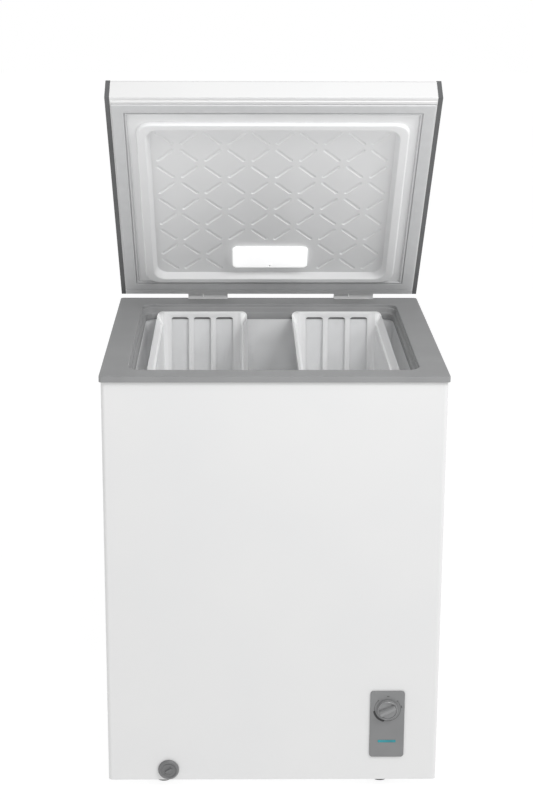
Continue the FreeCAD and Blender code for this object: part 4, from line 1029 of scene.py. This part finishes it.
FLOOR_SLOT, FLOOR_PITCH, FLOOR_EDGE = 5 * MM, 12 * MM, 14 * MM
floor_count = int((basket_high.y - basket_low.y - 5 * FLOOR_EDGE) / FLOOR_PITCH)
floor_start = basket_middle - (floor_count - 1) / 2 * FLOOR_PITCH
half_floor = (basket_high.x - basket_low.x) / 2 - RIM_WIDTH - TAPER - FLOOR_EDGE
floor_ring = (basket_x - half_floor, basket_x + half_floor, floor_start - FLOOR_SLOT / 2,
              floor_start + FLOOR_SLOT / 2,
              basket_low.z - 10 * MM)
floor_slots = rounded_cutter("floor_slot_cutter", floor_ring, 20 * MM, 2.2 * MM)
repeat_piece(floor_slots, floor_count, (0, FLOOR_PITCH, 0))
cut_by(basket, floor_slots)
apply_modifier(basket, "BEVEL", width=0.5 * MM, segments=2, limit_method="ANGLE",
               angle_limit=math.radians(50))
print("basket cut:", len(basket.data.polygons), "faces")

# %% Two baskets
complete(basket, "basket_left", basket_white, ["basket_left"], smooth=38)
other_basket = own_copy(basket)
other_basket.name = other_basket.data.name = "basket_tub_right"
other_basket.location.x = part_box("basket_right")[0].x - basket_low.x
complete(other_basket, "basket_right", basket_white, ["basket_right"], smooth=38)

# %% [markdown]
# ## Round pieces for the front
# The dial and the drain cap are drawn flat, facing up, and then stood up against the front. The dial has a
# fluted edge, a bright raised rim, a dished face and a broad grip bar across it.

# %% Dial
def stand_up(piece, x, y, z, turn=0.0):
    """Turn a piece that was drawn facing up to face the front, at a place, and clockwise by an angle."""
    place = Matrix.Translation((x, y, z))
    piece.matrix_world = place @ Matrix.Rotation(math.pi / 2, 4, "X") @ Matrix.Rotation(math.radians(-turn),
                                                                                        4, "Z")


def merge(piece, other):
    """Join a second closed piece into the first as one solid."""
    apply_modifier(piece, "BOOLEAN", operation="UNION", object=other, solver="EXACT")
    bpy.data.objects.remove(other)


knob_low, knob_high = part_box("thermostat_knob")
knob_x, knob_z = (knob_low.x + knob_high.x) / 2, (knob_low.z + knob_high.z) / 2
DIAL_SIDES, POINTER, FLUTE_SIZE, GRIP_TAPER = 96, 63, 0.966, 0.72
DIAL_RINGS = ((19, 0), (19, 1.2), (18.7, 1.5), (18.7, 5.2), (18.4, 6.2), (17.7, 6.9), (17.1, 6.9),
              (16.6, 6.3),
              (15.8, 4.6), (13, 4.2), (6, 4.0))
dial = round_start("dial_knob", DIAL_RINGS[0][0], DIAL_SIDES)
climb([round_ring(*ring) for ring in DIAL_RINGS])


def in_flute(vert):
    step = round(math.atan2(vert.co.y, vert.co.x) / (2 * math.pi / DIAL_SIDES))
    return step % 3 == 0 and 1.3 * MM < vert.co.z < 5.4 * MM and vert.co.xy.length > 18 * MM


choose(dial, "verts", in_flute)
bpy.ops.transform.resize(value=(FLUTE_SIZE, FLUTE_SIZE, 1), center_override=(0, 0, 0))
stop_editing()
outward(dial)

GRIP_RINGS = ((6.2, 16.4, 3), (6.0, 16.3, 6.5), (4.6, 16.0, 9.6), (3.6, 15.4, 11.6), (2.8, 14.6, 12.5))
grip_rings = [(-wide * MM, wide * MM, -long * MM, long * MM, height * MM) for wide, long,
              height in GRIP_RINGS]
grip = flat_start("dial_grip", grip_rings[0], 2.6 * MM, 6)
climb(grip_rings)
choose(grip, "verts", lambda vert: (grip.matrix_world @ vert.co).y > 8 * MM)
bpy.ops.transform.resize(value=(GRIP_TAPER, 1, 1), center_override=(0, 0, 0))
stop_editing()
outward(grip)
merge(dial, grip)
SHAFT_BORE, BORE_DEPTH = 3.06 * MM, 9.5 * MM
deselect()
bpy.ops.mesh.primitive_cylinder_add(vertices=32, radius=SHAFT_BORE, depth=2 * BORE_DEPTH, location=(0, 0, 0))
cut_by(dial, named("shaft_bore"))
stand_up(dial, knob_x, knob_high.y, knob_z, POINTER)
complete(dial, "thermostat_knob", dial_grey, ["thermostat_knob"], smooth=30)

# %% [markdown]
# ### The printed scale
# The panel is printed round the dial with a thin ring, a wedge that grows to show colder, and small plain
# marks. Each is a hair-thin layer of ink. The ring and the wedge are arcs spun from one short line.

# %% Printed scale
INK_DEPTH = 0.12
SCALE_RADIUS, SCALE_START, SCALE_END = 24.3, 48, 316
WEDGE_START, WEDGE_END, WEDGE_SHIFT = 192, 262, 1.5
ink = moulded("dark_ink", (0.06, 0.06, 0.062), 0.6, grain=0.01, spread=0.01)


def clockwise(place):
    """The angle of a place in degrees, clockwise from the top."""
    return math.degrees(math.atan2(place.x, place.y)) % 360


def arc(name, inner, outer, start, end):
    """A flat arc between two radii and two clockwise angles."""
    piece = round_start(name, outer, 144)
    bpy.ops.mesh.inset(thickness=(outer - inner) * MM, use_even_offset=False)
    bpy.ops.mesh.delete(type="FACE")
    choose(piece, "faces", lambda face: not start < clockwise(face.calc_center_median()) < end)
    bpy.ops.mesh.delete(type="FACE")
    stop_editing()
    return piece


def ink_mark(angle, radius, width, height):
    """A small plain mark on the scale, turned to face the dial."""
    deselect()
    turn = math.radians(-angle)
    place = Matrix.Rotation(turn, 4, "Z") @ Vector((0, radius * MM, 0))
    bpy.ops.mesh.primitive_plane_add(size=1, location=place, rotation=(0, 0, turn))
    piece = named("mark")
    piece.scale = (width * MM, height * MM, 1)
    return piece


ring = arc("dial_scale", SCALE_RADIUS - 0.3, SCALE_RADIUS + 0.3, SCALE_START, SCALE_END)
wedge = arc("wedge", SCALE_RADIUS - 1.2, SCALE_RADIUS + 0.8, WEDGE_START, WEDGE_END)
editing(wedge)
choose(wedge, "verts", lambda vert: vert.co.xy.length > SCALE_RADIUS * MM)
bpy.ops.transform.translate(value=(-WEDGE_SHIFT * MM, -WEDGE_SHIFT * MM, 0))
stop_editing()
marks = [ink_mark(-44, 24.6, 0.8, 3), ink_mark(48, 24.6, 0.8, 3), ink_mark(80, 26.4, 4.6, 1.6),
         ink_mark(2, 26, 4.4, 1.3)]
join(ring, wedge, *marks)
apply_modifier(ring, "SOLIDIFY", thickness=INK_DEPTH * MM, offset=1)
outward(ring)
stand_up(ring, knob_x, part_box("control_panel")[0].y, knob_z)
complete(ring, "cabinet", ink, smooth=20)

# %% [markdown]
# ### The drain cap
# The cap covers the end of the defrost drain. It has a bevelled rim, a dished face and a small grip, and its
# back is hollow over the end of the spout.

# %% Drain cap
CAP_RINGS = ((12.4, 2.8), (12.4, 0), (17.5, 0), (19.5, 1.4), (19.5, 3.4), (19.1, 4.4), (17.4, 6.1),
             (16.6, 6.5),
             (15.6, 6.5), (15.0, 6.1), (14.0, 4.7), (13.0, 4.4), (5, 4.4))
CAP_GRIP_RINGS = ((2.4, 7.2, 3.8), (2.2, 7.0, 6.6), (1.8, 6.4, 7.8), (1.2, 5.6, 8.0))
CAP_TURN = 58
cap_low, cap_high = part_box("drain_cap")
cap_middle = (cap_low + cap_high) / 2
drain_cap = round_start("drain_cap_turned", CAP_RINGS[0][0], 64, CAP_RINGS[0][1])
climb([round_ring(*ring) for ring in CAP_RINGS])
stop_editing()
outward(drain_cap)
cap_grip_rings = [(-wide * MM, wide * MM, -long * MM, long * MM, height * MM) for wide, long,
                  height in CAP_GRIP_RINGS]
cap_grip = flat_start("cap_grip", cap_grip_rings[0], 1.2 * MM, 4)
climb(cap_grip_rings)
stop_editing()
outward(cap_grip)
merge(drain_cap, cap_grip)
stand_up(drain_cap, cap_middle.x, cap_high.y, cap_middle.z, CAP_TURN)
complete(drain_cap, "drain_cap", drain_grey, ["drain_cap"], smooth=30)
